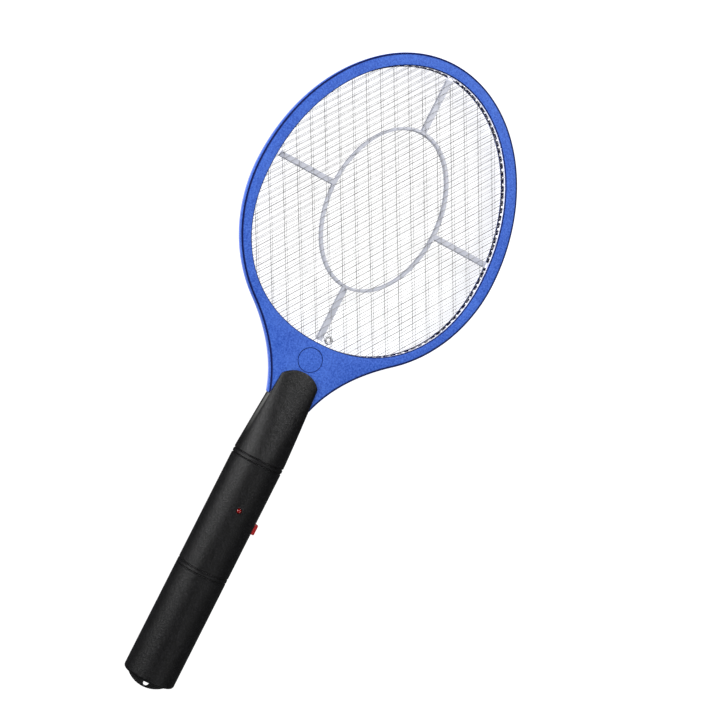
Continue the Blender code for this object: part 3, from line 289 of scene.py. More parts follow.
def palePlastic():
    look = {
        "colour": (0.62, 0.635, 0.71),
        "shade": (0.50, 0.52, 0.60),
        # a painted glow, and a painted whiter ring
        "glow": (0.113, 0.117, 0.133),
        "ring": (0.96, 0.965, 1.0),
    }
    glow = {"Transmission_Weight": 0.12, "Emission_Strength": 0.3}  # thin and milky, with a painted glow as if lit from behind
    finish = Finish("palePlastic", Roughness=0.42, IOR=1.48, **glow)
    pale = finish.blend(finish.between(finish.grain(7.0), 0.0, 0.7), look["colour"], look["shade"])
    # painted light: the ring under the rim is painted whiter than the spokes and glows more, to lift the
    # shade under the rim
    ring = finish.ovalShare(openingHalfWidth, openingTop, head["openingLow"]) > 0.96
    finish.feed("Base Color", finish.blend(ring, pale, look["ring"]))
    finish.feed("Emission Color", finish.blend(ring, look["glow"], look["ring"]))
    finish.feed("Roughness", finish.between(finish.grain(1.2), 0.36, 0.5))
    finish.relief(finish.grain(0.5), 0.02, 0.5)
    return finish.material


def redPlastic():
    finish = Finish("redPlastic", Roughness=0.32, IOR=1.5, Coat_Weight=0.2)
    cloud = finish.grain(1.6, 3.0)
    finish.feed("Base Color", finish.mottle(cloud, (0.60, 0.012, 0.014), (0.42, 0.008, 0.010)))
    finish.feed("Roughness", finish.between(finish.grain(0.5), 0.26, 0.42))
    finish.relief(finish.grain(0.35), 0.02, 0.5)
    return finish.material


def redLens():
    finish = Finish("redLens", Roughness=0.08, IOR=1.52, Coat_Weight=1.0, Transmission_Weight=0.25)
    finish.feed("Base Color", finish.mottle(finish.grain(0.8), (0.36, 0.006, 0.006), (0.22, 0.002, 0.003)))
    return finish.material


def metalFinish(name, colour, dark, grainSize, roughness):
    finish = Finish(name, Metallic=1.0)
    streak = finish.grain(grainSize, 3.0, 0.6)
    finish.feed("Base Color", finish.mottle(streak, colour, dark, 0.45, 0.6))
    finish.feed("Roughness", finish.between(streak, roughness, roughness + 0.15))
    finish.relief(finish.grain(0.25), 0.01, 0.4)
    return finish.material


def gridWire():
    # drawn wire: pale, with a painted glint in its fine mottle and short stretches painted near black, as
    # painted reflections
    finish = Finish("gridWire", Metallic=0.2)
    darkReflection = finish.between(finish.grain(2.2, 3.0, 0.7), 0.0, 1.0, 0.50, 0.58)
    glint = finish.grain(0.9, 1.0)
    pale = finish.mottle(glint, (0.46, 0.45, 0.44), (0.30, 0.295, 0.29))
    finish.feed("Base Color", finish.blend(darkReflection, pale, (0.03, 0.029, 0.03)))
    finish.feed("Roughness", finish.between(glint, 0.3, 0.5))
    return finish.material


def boardGreen():
    # solder mask over copper tracks, with rows of tinned pads
    finish = Finish("boardGreen", Roughness=0.35, Coat_Weight=0.3)
    over, along = finish.axis("X"), finish.axis("Y")
    track = (over * 1900 + (along * 240).sine() * 1.6).sine() > 0.55
    pad = ((over * 1230).sine() > 0.82) * ((along * 1230).sine() > 0.82)
    mask = finish.mottle(finish.grain(3.0), (0.016, 0.105, 0.035), (0.012, 0.075, 0.028))
    tracked = finish.blend(track * 0.75, mask, (0.05, 0.19, 0.06))
    finish.feed("Base Color", finish.blend(pad, tracked, (0.55, 0.54, 0.52)))
    finish.feed("Metallic", pad * 0.9)
    finish.relief(track, 0.035, 0.5)
    return finish.material


def ferrite():
    finish = Finish("ferrite", Roughness=0.6)
    grit = finish.grain(0.35, 3.0, 0.7)
    finish.feed("Base Color", finish.mottle(grit, (0.022, 0.022, 0.026), (0.06, 0.06, 0.066)))
    finish.relief(grit, 0.05, 0.6)
    return finish.material


def windingTape():
    # overlapping turns of yellow tape
    finish = Finish("windingTape", Roughness=0.3, Coat_Weight=0.4)
    lap = (finish.axis("Z") * 5200).sine()
    finish.feed("Base Color", finish.mottle(lap, (0.72, 0.47, 0.05), (0.42, 0.25, 0.02), 0.6, 1.0))
    finish.relief(lap, 0.04, 0.5)
    return finish.material


def dippedResin(name, colour, dark):
    finish = Finish(name, Roughness=0.25, Coat_Weight=0.6)
    flow = finish.grain(3.5)
    finish.feed("Base Color", finish.mottle(flow, colour, dark))
    finish.relief(flow, 0.12, 0.4)
    return finish.material


def componentBlack():
    # moulded epoxy, with the pale band that marks one end of each diode
    finish = Finish("componentBlack", Roughness=0.45)
    grit = finish.grain(0.4)
    over, along = finish.axis("X") * metre, finish.axis("Y") * metre
    band = (over > -4.9) * (over < -4.4) * (along > -88.5)
    body = finish.mottle(grit, (0.012, 0.012, 0.013), (0.03, 0.03, 0.032))
    finish.feed("Base Color", finish.blend(band, body, (0.5, 0.5, 0.5)))
    finish.relief(grit, 0.03, 0.5)
    return finish.material


def resistorTan():
    # four plain rings
    finish = Finish("resistorTan", Roughness=0.4, Coat_Weight=0.3)
    along = finish.between(finish.axis("X"), 0.0, 1.0, -0.003, 0.003)
    tan, brown, red, gold = (0.50, 0.36, 0.2), (0.12, 0.04, 0.015), (0.45, 0.02, 0.01), (0.5, 0.33, 0.06)
    stops = [(0.0, tan), (0.22, brown), (0.29, tan), (0.38, red), (0.45, tan), (0.54, brown), (0.61, tan)]
    stops += [(0.76, gold), (0.83, tan)]
    finish.feed("Base Color", finish.bands(along, stops))
    finish.relief(finish.grain(0.6), 0.02, 0.4)
    return finish.material


def cellWrap(name, lowY, highY, nubHigh):
    # printed sleeve in two plain tones, with bare steel at both ends
    finish = Finish(name, Roughness=0.3, Coat_Weight=0.5)
    start, end = (lowY, highY) if nubHigh else (highY, lowY)
    along = finish.between(finish.axis("Y"), 0.0, 1.0, start / metre, end / metre)
    steel, green, dark, gold = (0.6, 0.6, 0.6), (0.025, 0.17, 0.085), (0.012, 0.05, 0.03), (0.62, 0.45, 0.16)
    stops = [(0.0, steel), (0.012, dark), (0.05, green), (0.70, gold), (0.715, dark), (0.972, steel)]
    finish.feed("Base Color", finish.bands(along, stops))
    finish.feed("Metallic", (along < 0.012) + (along > 0.972))
    finish.feed("Roughness", finish.between(finish.grain(1.8, 3.0), 0.24, 0.36))
    finish.relief(finish.grain(2.5), 0.03, 0.4)
    return finish.material


def leadCover(name, colour, dark):
    finish = Finish(name, Roughness=0.42)
    finish.feed("Base Color", finish.mottle(finish.grain(2.2, 3.0), colour, dark))
    finish.relief(finish.grain(0.6), 0.03, 0.5)
    return finish.material


def paleFloor():
    # a light table: it glows a little, so that little shadow falls on it
    finish = Finish("paleFloor", Roughness=0.9, Emission_Color=(1, 1, 1, 1), Emission_Strength=0.92)
    finish.feed("Base Color", finish.mottle(finish.grain(60.0), (0.32, 0.32, 0.322), (0.30, 0.30, 0.302)))
    return finish.material


finishes = {
    "blue_plastic": bluePlastic("bluePlastic", (0.05, 0.13, 0.6)),
    "black_plastic": blackPlastic(),
    "pale_plastic": palePlastic(),
    "red_plastic": redPlastic(),
    "red_lens": redLens(),
    "grid_wire": gridWire(),
    "steel": metalFinish("zincSteel", (0.62, 0.62, 0.63), (0.33, 0.33, 0.34), 1.4, 0.25),
    "spring_steel": metalFinish("springSteel", (0.66, 0.65, 0.62), (0.40, 0.38, 0.35), 1.0, 0.2),
    "board_green": boardGreen(),
    "ferrite": ferrite(),
    "winding_tape": windingTape(),
    "film_red": dippedResin("dippedResin", (0.36, 0.075, 0.03), (0.25, 0.045, 0.02)),
    "component_black": componentBlack(),
    "resistor_tan": resistorTan(),
    "lead_red": leadCover("leadRed", (0.48, 0.015, 0.015), (0.33, 0.01, 0.01)),
    "lead_black": leadCover("leadBlack", (0.012, 0.012, 0.013), (0.03, 0.03, 0.03)),
    "lead_white": leadCover("leadWhite", (0.66, 0.66, 0.63), (0.5, 0.5, 0.47)),
}
print("finishes made")


def settle(name, mesh, slot, nodes=(), body="root", finish=None):
    # turns a shape in millimetres into a piece in its place
    mesh.transform(Matrix.Scale(1 / metre, 4) @ Matrix.Translation((0, 0, lift)))
    mesh.materials.clear()
    mesh.materials.append(finish or finishes[slot])
    mesh.shade_smooth()
    mesh.set_sharp_from_angle(angle=math.radians(38))
    piece = bpy.data.objects.new(name, mesh)
    bpy.context.scene.collection.objects.link(piece)
    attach(piece, body)
    if nodes:
        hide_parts(*nodes)
    return piece


def camelName(node):
    name = node.title().replace("_", "")
    return name[0].lower() + name[1:]


def meshOf(bm):
    bmesh.ops.recalc_face_normals(bm, faces=bm.faces)
    mesh = bpy.data.meshes.new("shape")
    bm.to_mesh(mesh)
    bm.free()
    return mesh


def fullTurn(steps):
    return [2 * math.pi * step / steps for step in range(steps)]


def loft(bm, rows, closed=False):
    # quads between rows of equally many points; a closed loft joins its last row to its first
    made = [[bm.verts.new(point) for point in row] for row in rows]
    for lower, upper in zip(made, made[1:] + (made[:1] if closed else [])):
        count = len(lower)
        for i in range(count):
            j = (i + 1) % count
            bm.faces.new((lower[i], lower[j], upper[j], upper[i]))
    return made


def turned(profile, steps=48):
    # a profile of (radius, height) that starts and ends on the axis, turned about Z
    bm = bmesh.new()
    rows = []
    for radius, height in profile[1:-1]:
        rows.append([(radius * math.cos(a), radius * math.sin(a), height) for a in fullTurn(steps)])
    made = loft(bm, rows)
    for row, end in ((made[0], profile[0]), (made[-1], profile[-1])):
        tip = bm.verts.new((0, 0, end[1]))
        for i, vert in enumerate(row):
            bm.faces.new((vert, row[(i + 1) % steps], tip))
    return meshOf(bm)


def plate(outlines, low, high, rounding=0.0, fineness=2):
    # a flat plate with rounded edges; the first outline is its edge and the others are holes
    curve = bpy.data.curves.new("plate", "CURVE")
    curve.dimensions = "2D"
    curve.fill_mode = "BOTH"
    curve.extrude = (high - low) / 2 - rounding
    curve.bevel_depth = rounding
    curve.bevel_resolution = fineness
    curve.offset = -rounding
    for outline in outlines:
        spline = curve.splines.new("POLY")
        spline.points.add(len(outline) - 1)
        for point, place in zip(spline.points, outline):
            point.co = (place[0], place[1], 0, 1)
        spline.use_cyclic_u = True
    holder = bpy.data.objects.new("plate", curve)
    bpy.context.scene.collection.objects.link(holder)
    bpy.context.view_layer.update()
    graph = bpy.context.evaluated_depsgraph_get()
    mesh = bpy.data.meshes.new_from_object(holder.evaluated_get(graph))
    bpy.data.objects.remove(holder)
    bm = bmesh.new()
    bm.from_mesh(mesh)
    bmesh.ops.remove_doubles(bm, verts=bm.verts, dist=0.0005)
    bmesh.ops.translate(bm, vec=(0, 0, (low + high) / 2), verts=bm.verts)
    return meshOf(bm)


def box(low, high, rounding=0.0, segments=4):
    bm = bmesh.new()
    bmesh.ops.create_cube(bm, size=1)
    size = Vector(high) - Vector(low)
    bmesh.ops.scale(bm, vec=size, verts=bm.verts)
    bmesh.ops.translate(bm, vec=Vector(low) + size / 2, verts=bm.verts)
    if rounding:
        edges = bm.edges[:]
        bmesh.ops.bevel(bm, geom=edges, offset=rounding, segments=segments, profile=0.5, affect="EDGES")
    return meshOf(bm)


def moved(mesh, place, turn=None):
    matrix = Matrix.Translation(place)
    if turn:
        angle, axis = turn
        matrix = matrix @ Matrix.Rotation(angle, 4, axis)
    mesh.transform(matrix)
    return mesh


def stoodUp(mesh, y):
    # stands a plate made in x and y up across the handle, its thickness along +Y from y
    mesh.transform(Matrix(((1, 0, 0, 0), (0, 0, 1, y), (0, 1, 0, 0), (0, 0, 0, 1))))
    mesh.flip_normals()
    return mesh


def worked(mesh, tools, operation="DIFFERENCE"):
    # cuts a shape with others, or joins them to it
    holder = bpy.data.objects.new("shape", mesh)
    bpy.context.scene.collection.objects.link(holder)
    others = []
    for tool in tools:
        other = bpy.data.objects.new("tool", tool)
        bpy.context.scene.collection.objects.link(other)
        step = holder.modifiers.new("work", "BOOLEAN")
        step.operation = operation
        step.object = other
        step.solver = "EXACT"
        others.append(other)
    bpy.context.view_layer.update()
    graph = bpy.context.evaluated_depsgraph_get()
    result = bpy.data.meshes.new_from_object(holder.evaluated_get(graph))
    for obj in others + [holder]:
        bpy.data.objects.remove(obj)
    return result


def tube(bm, points, radius, sides=10):
    # sweeps a round section along points and closes both ends
    points = [Vector(point) for point in points]
    ways = [(after - before).normalized() for before, after in zip(points, points[1:])]
    ways = [ways[0]] + [(a + b).normalized() for a, b in zip(ways, ways[1:])] + [ways[-1]]
    side = ways[0].orthogonal().normalized()
    rows = []
    for point, way in zip(points, ways):
        side = (side - way * side.dot(way)).normalized()
        up = way.cross(side)
        rows.append([point + (side * math.cos(a) + up * math.sin(a)) * radius for a in fullTurn(sides)])
    made = loft(bm, rows)
    bm.faces.new(made[0])
    bm.faces.new(made[-1])


def smoothRoute(points, steps=8):
    # a smooth curve through the points
    ends = [2 * Vector(points[0]) - Vector(points[1])]
    ends += [Vector(point) for point in points]
    ends += [2 * ends[-1] - ends[-2]]
    route = []
    for before, start, end, after in zip(ends, ends[1:], ends[2:], ends[3:]):
        for step in range(steps):
            t = step / steps
            turn = (2 * before - 5 * start + 4 * end - after) * t * t
            twist = (3 * start - before - 3 * end + after) * t * t * t
            route.append((2 * start + (end - before) * t + turn + twist) / 2)
    route.append(ends[-2])
    return route


def arc(centre, radius, start, end, steps):
    turns = [start + (end - start) * step / steps for step in range(steps + 1)]
    return [(centre[0] + radius * math.cos(a), centre[1] + radius * math.sin(a)) for a in turns]


def rightEdge():
    # from the tip, round the right side and down the throat to the neck's shoulder
    edge = []
    for step in range(61):
        a = math.pi / 2 * (1 - step / 60)
        edge.append(Vector((head["halfWidth"] * math.cos(a), widestY + head["topLength"] * math.sin(a))))
    for step in range(1, 41):
        a = head["flareAngle"] * step / 40
        edge.append(Vector((head["halfWidth"] * math.cos(a), widestY + head["lowLength"] * math.sin(a))))
    start = edge[-1]
    a = head["flareAngle"]
    along = Vector((head["halfWidth"] * math.sin(a), -head["lowLength"] * math.cos(a))).normalized()
    end = Vector((head["shoulderHalfWidth"], head["shoulder"] + 0.3))
    down = Vector((-head["flareSlope"], -1)).normalized()
    pull, endPull = start + along * head["flarePulls"][0], end - down * head["flarePulls"][1]
    for step in range(1, 29):
        t = step / 28
        u = 1 - t
        edge.append(start * u**3 + pull * 3 * u * u * t + endPull * 3 * u * t * t + end * t**3)
    return edge


def headOutline():
    side = rightEdge()
    low, end, halfWidth = head["shoulder"] + 0.1, head["tangEnd"], head["tangHalfWidth"]
    side += [Vector((halfWidth, low)), Vector((halfWidth, (low + end) / 2)), Vector((halfWidth, end))]
    side += [Vector((halfWidth / 2, end)), Vector((0, end))]
    return side + [Vector((-p.x, p.y)) for p in reversed(side[1:-1])]


def inset(outline, distance):
    # moves a clockwise outline inwards, with mitred corners
    result = []
    for i, point in enumerate(outline):
        before, after = outline[i - 1], outline[(i + 1) % len(outline)]
        here, onward = (point - before).normalized(), (after - point).normalized()
        first, second = Vector((here.y, -here.x)), Vector((onward.y, -onward.x))
        result.append(point + (first + second) * (distance / (1 + first.dot(second))))
    return result


def insideOpening(x, y, reach):
    # whether a place is inside the opening grown by reach
    over, up = abs(x / (openingHalfWidth + reach)), y - widestY
    if up >= 0:
        return over**2 + (up / (openingTop + reach)) ** 2 < 1
    power = head["squareness"]
    return over**power + abs(up / (head["openingLow"] + reach)) ** power < 1


def openingToward(way, reach):
    # where a ray from the opening's middle meets its edge
    near, far = 0.0, head["beyond"] + 20.0
    for _ in range(36):
        middle = (near + far) / 2
        if insideOpening(way.x * middle, openingMiddle + way.y * middle, reach):
            near = middle
        else:
            far = middle
    return Vector((way.x * near, openingMiddle + way.y * near))


def openingOutline(reach, steps=160):
    return [openingToward(Vector((math.cos(a), math.sin(a))), reach) for a in fullTurn(steps)]


def frameMesh(side):
    base = headOutline()
    middle = Vector((0, openingMiddle))
    ways = [(point - middle).normalized() for point in base]
    face, gap, wall = head["face"], head["gap"], head["wall"]
    outerRound, innerRound = head["outerRounding"], head["innerRounding"]

    def outer(distance, z):
        return [(p.x, p.y, z * side) for p in inset(base, distance)]

    def hole(reach, z):
        return [(p.x, p.y, z * side) for p in (openingToward(way, reach) for way in ways)]

    rows = [outer(0.2, gap), outer(0, gap + 0.25), outer(0, face - outerRound)]
    for step in range(1, 6):
        a = math.pi / 2 * step / 5
        rows.append(outer(outerRound * (1 - math.cos(a)), face - outerRound * (1 - math.sin(a))))
    for step in range(5):
        a = math.pi / 2 * step / 4
        rows.append(hole(innerRound * (1 - math.sin(a)), face - innerRound * (1 - math.cos(a))))
    rows += [hole(0, face - wall), outer(wall, face - wall), outer(wall, gap)]
    bm = bmesh.new()
    loft(bm, rows, closed=True)
    return meshOf(bm)


disc = {
    "y": openingBottom - 12.5,
    "radius": 8.5,
    "groove": 0.6,
    "depth": 0.55,
    "floor": 0.3,  # of the disc below the face
    "dome": 0.22,
}


def throatDisc():
    # the tool that leaves a shallow domed disc inside a fine groove
    radius, face, bottom = disc["radius"], head["face"], head["face"] - disc["depth"]
    inner = radius - disc["groove"]
    profile = [(0, face + 2), (radius, face + 2), (radius, face + 0.02), (radius - 0.12, bottom)]
    profile += [(inner + 0.1, bottom), (inner, face - disc["floor"])]
    for step in range(1, 7):
        share = 1 - step / 6
        profile.append((inner * share, face - disc["floor"] + disc["dome"] * (1 - share**2)))
    return moved(turned(profile, 96), (0, disc["y"], 0))


settle("frontFrame", worked(frameMesh(1), [throatDisc()]), "blue_plastic", ["front_frame"])

throatScrews = ("throat_screw_left", "throat_screw_right")
screwSeat = {"radius": 2.3, "mouth": 2.6, "mouthDepth": 0.25, "above": 1.7, "start": -9.0}


def screwSeats():
    # the tools that sink the two throat screws into the rear frame
    seats, back, top = [], -head["face"], span("throat_screw_left")[0].z + screwSeat["above"]
    radius, mouth, start = screwSeat["radius"], screwSeat["mouth"], screwSeat["start"]
    profile = [(0, top), (radius, top), (radius, back + screwSeat["mouthDepth"]), (mouth, back - 0.02)]
    profile += [(mouth, start), (0, start)]
    for node in throatScrews:
        place = middleOf(node)
        seats.append(moved(turned(profile, 32), (place.x, place.y, 0)))
    return seats


blueLitWall = bluePlastic("blueLitWall", (0.22, 0.30, 0.84))  # with its outer wall painted paler, a painted reflection
settle("rearFrame", worked(frameMesh(-1), screwSeats()), "blue_plastic", ["rear_frame"], finish=blueLitWall)
print("frames made")

grid = {
    "clamped": 2.6,  # how far a wire runs under the rim
    "families": ((math.radians(55), 3.77, 0.14), (math.radians(119), 9.5, 0.12)),  # angle, pitch, radius
    "layers": (("front_grid", (0.0, 0.0)), ("middle_grid", (0.22, -0.06)), ("rear_grid", (-0.12, 0.0))),
    "rise": 0.135,  # of each family from the layer's middle
    "drift": 0.12,
    "skew": 0.003,
    "waviness": 0.12,
    "waveLength": 11,
    "stepLength": 7,
}


def wireEnds(middle, way, reach):
    # the two places where a line leaves the oval, or nothing if it misses it
    def within(d):
        return insideOpening(middle.x + way.x * d, middle.y + way.y * d, reach)

    inside = [d for d in range(-head["beyond"], head["beyond"] + 1) if within(d)]
    if len(inside) < 3:
        return None
    ends = []
    for last, step in ((inside[0], -1), (inside[-1], 1)):
        near, far = 0.0, 1.0
        for _ in range(20):
            share = (near + far) / 2
            if within(last + step * share):
                near = share
            else:
                far = share
        ends.append(last + step * near)
    return ends


def gridMesh(height, shifts):
    bm = bmesh.new()
    for number, (angle, pitch, radius) in enumerate(grid["families"]):
        way = Vector((math.cos(angle), math.sin(angle)))
        aside = Vector((-way.y, way.x))
        z = height + grid["rise"] * (1 if number else -1)
        count = math.ceil(120 / pitch)
        for i in range(-count, count + 1):
            drift = random.uniform(-grid["drift"], grid["drift"])
            middle = Vector((0, openingMiddle)) + aside * ((i - shifts[number]) * pitch + drift)
            along = (way + aside * random.uniform(-grid["skew"], grid["skew"])).normalized()
            ends = wireEnds(middle, along, grid["clamped"])
            if not ends:
                continue
            steps = max(int((ends[1] - ends[0]) / grid["stepLength"]), 2)
            phase, swing = random.uniform(0, 6.28), random.uniform(0.3, 1) * grid["waviness"]
            points = []
            for step in range(steps + 1):
                d = ends[0] + (ends[1] - ends[0]) * step / steps
                bend = swing * math.sin(phase + d / grid["waveLength"])
                point = middle + along * d + aside * bend
                points.append((point.x, point.y, z + bend * 0.4))
            tube(bm, points, radius, 6)
    return meshOf(bm)


for node, shifts in grid["layers"]:
    low, high = span(node)
    settle(camelName(node), gridMesh((low.z + high.z) / 2, shifts), "grid_wire", [node])
print("grids made")

spacerLow, spacerHigh = span("front_spacer")
spacer = {
    "low": spacerLow.z,
    "high": spacerHigh.z,
    "reach": 4.2,
    "clear": 0.3,  # inner edge beyond the frame's opening
    "spoke": 2.3,
    "fillet": 1.2,
    "brace": 2.0,
    "braceHalfWidth": 38.0,
    "braceHalfLength": 56.7,
    "toothPitch": 5.0,
    "tooth": 1.15,
    "toothDepth": 2.6,
    "rounding": 0.3,
}


def braceOval(grow):
    width, length = spacer["braceHalfWidth"] + grow, spacer["braceHalfLength"] + grow
    return [(width * math.cos(a), openingMiddle + length * math.sin(a)) for a in fullTurn(120)]


def beside(outline, right, top):
    # the stretch of an outline in one quarter that keeps clear of both spokes, with a small fillet
    half, fillet = spacer["spoke"] / 2, spacer["fillet"]
    kept = []
    for x, y in outline:
        over, up = x * right, (y - openingMiddle) * top
        if over > half + fillet and up > half + fillet:
            kept.append((over, up))
    kept.sort(key=lambda point: math.atan2(point[1], point[0]))
    first, last = kept[0], kept[-1]
    kept = [(first[0], half + fillet * 0.5), *kept, (half + fillet * 0.5, last[1])]
    return [(x * right, openingMiddle + y * top) for x, y in kept]


def toothedOutline():
    # the inner edge of the rear ring, with a tooth every few millimetres
    shallow = openingOutline(spacer["clear"], 720)
    deep = openingOutline(spacer["clear"] + spacer["toothDepth"], 720)
    length, outline, wasTooth = 0.0, [], None
    for i, (near, far) in enumerate(zip(shallow, deep)):
        length += math.dist(near, shallow[i - 1]) if i else 0
        isTooth = length % spacer["toothPitch"] < spacer["tooth"]
        if wasTooth is not None and isTooth != wasTooth:
            outline.append(far if isTooth else near)
        outline.append(near if isTooth else far)
        wasTooth = isTooth
    return outline


def toothPockets(low, high):
    # the tool that cuts the spaces between the teeth, but leaves the spokes
    half, far = spacer["spoke"] / 2, head["beyond"]
    pockets = plate([openingOutline(spacer["clear"] + spacer["toothDepth"], 360)], low - 1, high + 1)
    low, high = low - 2, high + 2
    pockets = worked(pockets, [plate([openingOutline(-1.0, 180)], low, high)])
    ring = plate([openingOutline(spacer["reach"] + 1, 180), toothedOutline()], low, high)
    pockets = worked(pockets, [ring])
    spokes = [box((-half, openingMiddle - far, low), (half, openingMiddle + far, high))]
    spokes += [box((-far, openingMiddle - half, low), (far, openingMiddle + half, high))]
    return worked(pockets, spokes)


def spacerMesh(side, toothed):
    low, high = sorted((spacer["low"] * side, spacer["high"] * side))
    clear = openingOutline(spacer["clear"], 180)
    brace = spacer["brace"] / 2
    outlines = [openingOutline(spacer["reach"], 180), braceOval(-brace)]
    for right, top in ((1, 1), (-1, 1), (-1, -1), (1, -1)):
        outlines.append(beside(clear, right, top) + beside(braceOval(brace), right, top)[::-1])
    mesh = plate(outlines, low, high, spacer["rounding"])
    return worked(mesh, [toothPockets(low, high)]) if toothed else mesh


settle("frontSpacer", spacerMesh(1, False), "pale_plastic", ["front_spacer"])
settle("rearSpacer", spacerMesh(-1, True), "pale_plastic", ["rear_spacer"])
print("spacers made")


eyelet = {
    "bore": 1.5,
    "crimps": 8,
    "slit": 0.4,  # how much flatter a slit is than the rest of the crimped flower
    "shift": {1: 0, -1: 1.7},  # the rear one sits a little to the side
    "tail": ((1.9, -1.4, 0), (3.2, -1.9, 0.1), (4.4, -1.2, 0.05), (4.9, 0.2, 0), (4.5, 1.6, 0)),
    "tailRadius": 0.2,
}


def eyeletMesh(side, node):
    low, high = span(node)
    outer, height, bore = (high.x - low.x) / 2, high.z - low.z, eyelet["bore"]
    bm = bmesh.new()
    rows = []
    for step, a in enumerate(fullTurn(64)):
        isSlit = (step * eyelet["crimps"] / 64) % 1 < 0.25
        rise = height / 2 * (1 - eyelet["slit"] * isSlit)
        loop = []
        for t in fullTurn(12):
            reach = (outer + bore) / 2 + (outer - bore) / 2 * math.cos(t)
            loop.append((reach * math.cos(a), reach * math.sin(a), rise * math.sin(t)))
        rows.append(loop)
    loft(bm, rows, closed=True)
    tail = [(-x, -y * side + 2, z) for x, y, z in eyelet["tail"]]
    tube(bm, smoothRoute(tail, 4), eyelet["tailRadius"], 8)
    return moved(meshOf(bm), middleOf(node) + Vector((eyelet["shift"][side], 0, 0)))


settle("frontEyelet", eyeletMesh(1, "front_contact_eyelet"), "steel", ["front_contact_eyelet"])
settle("rearEyelet", eyeletMesh(-1, "rear_contact_eyelet"), "steel", ["rear_contact_eyelet"])

handleScrews = ("handle_screw_lower", "handle_screw_upper", "neck_screw")
screw = {
    "pitch": 0.55,
    "root": 0.78,  # share of the thread's radius
    "slot": 0.28,  # half the width of the cross
    "slotShare": 0.55,  # of the head's radius and height
    "throat": (1.1, 1.4),  # thread radius and head height
    "handle": (1.2, 1.8),
}


def screwMesh(node, radius, headHeight):
    # a pan-head screw that points up, with a cross recess in its head and a turned thread
    low, high = span(node)
    headRadius, tip, seat = (high.x - low.x) / 2, high.z, low.z + headHeight
    profile = [(0, tip), (radius * 0.35, tip)]
    turns = int((tip - seat) / screw["pitch"]) * 2
    for turn in range(turns):
        width = radius * (1.0 if turn % 2 else screw["root"])
        profile.append((width, tip - 0.5 - (tip - seat - 0.8) * turn / turns))
    profile += [(radius, seat), (headRadius, seat), (headRadius, seat - headHeight * 0.4)]
    for step in range(1, 6):
        a = math.pi / 2 * step / 6
        profile.append((headRadius * math.cos(a), seat - headHeight * (0.4 + 0.6 * math.sin(a))))
    bottom = seat - headHeight
    profile.append((0, bottom))
    slot, arm, deep = screw["slot"], headRadius * screw["slotShare"], bottom + headHeight * screw["slotShare"]
    cross = [box((-arm, -slot, bottom - 1), (arm, slot, deep))]
    cross += [box((-slot, -arm, bottom - 1), (slot, arm, deep))]
    place = middleOf(node)
    return moved(worked(turned(profile, 40), cross), (place.x, place.y, 0))


for kind, nodes in (("throat", throatScrews), ("handle", handleScrews)):
    for node in nodes:
        settle(camelName(node), screwMesh(node, *screw[kind]), "steel", [node])
print("screws and eyelets made")

tab = {"length": 6.5, "halfChord": 15.0, "thickness": 2.5, "low": 0.45, "hole": 2.0, "holeOut": 3.5}
handle = {
    "radius": lift,
    "wall": 2.0,
    "butt": span("front_handle_shell")[0].y + tab["length"],
    "endWall": 2.2,
    "buttRounding": 1.9,
    "gap": 0.15,
    "grooves": (-143.0, -63.0),
    "grooveSpacing": 3.0,
    "groove": ((-0.62, 0.0), (-0.48, 0.13), (-0.3, 0.48), (-0.1, 0.6)),  # one half: place and depth
    "neckStart": -60.0,
    "neckEnd": 3.0,
    "lipHalfWidth": 12.8,
    "lipHalfDepth": 7.8,
    "lipCrown": 0.24,  # share of the lip's depth that is crowned
    "crownFade": {1: 1.0, -1: 0.5},  # front and rear
    "lipTip": 2.0,
    "lipRadius": 16.9,
    "lipCutHalfWidth": 16.5,
    "columns": 96,
    "clear": 40,  # wider than the handle
}


def sectionAt(y, side=1):
    # half-width and half-depth of the handle at a station, and how much of the depth is its crown
    share = min(max((y - handle["neckStart"]) / (handle["neckEnd"] - handle["neckStart"]), 0), 1)
    radius = handle["radius"]
    width = radius + (handle["lipHalfWidth"] - radius) * share
    depth = radius + (handle["lipHalfDepth"] - radius) * share
    crown = handle["lipCrown"] + (1 - handle["lipCrown"]) * (1 - share) ** handle["crownFade"][side]
    return width, depth, crown


def sectionPoint(width, depth, crown, a):
    # where a ray at an angle meets upright sides that end in half an ellipse
    over, up = abs(math.cos(a)), math.sin(a)
    side, rise = depth * (1 - crown), depth * crown
    if over > 1e-9 and width / over * up <= side:
        reach = width / over
    else:
        first = (over / width) ** 2 + (up / rise) ** 2
        second = up * side / rise**2
        reach = (second + math.sqrt(second**2 - first * ((side / rise) ** 2 - 1))) / first
    return math.copysign(over * reach, math.cos(a)), up * reach


def halfLoop(side, outer, inner):
    # one closed loop round the wall of a half shell: outer surface one way, inner surface back
    loop = []
    for order, (y, width, depth, crown) in ((1, outer), (-1, inner)):
        first = math.asin(min(handle["gap"] / max(width, handle["gap"] * 1.01), 1))
        columns = handle["columns"]
        turns = [first + (math.pi - 2 * first) * i / columns for i in range(columns + 1)]
        for a in turns[::order]:
            x, z = sectionPoint(width, depth, crown, a)
            loop.append((x, y, max(z, handle["gap"]) * side))
    return loop


def buttRows(side):
    # the closed end of the handle, from its middle out and round its edge
    wall, radius, rounding = handle["wall"], handle["radius"], handle["buttRounding"]
    butt, inside = handle["butt"], handle["butt"] + handle["endWall"]
    rows = []
    for share in (0.03, 0.35, 0.7, 0.96):
        out, back = share * (radius - rounding), share * (radius - wall - 0.5)
        rows.append(halfLoop(side, (butt, out, out, 1), (inside, back, back, 1)))
    for step in range(8):
        a = math.pi / 2 * step / 7
        out = radius - rounding * (1 - math.sin(a))
        back = radius - wall - 0.5 * (1 - math.sin(a))
        y, innerY = butt + rounding * (1 - math.cos(a)), inside + 0.5 * (1 - math.cos(a))
        rows.append(halfLoop(side, (y, out, out, 1), (innerY, back, back, 1)))
    return rows


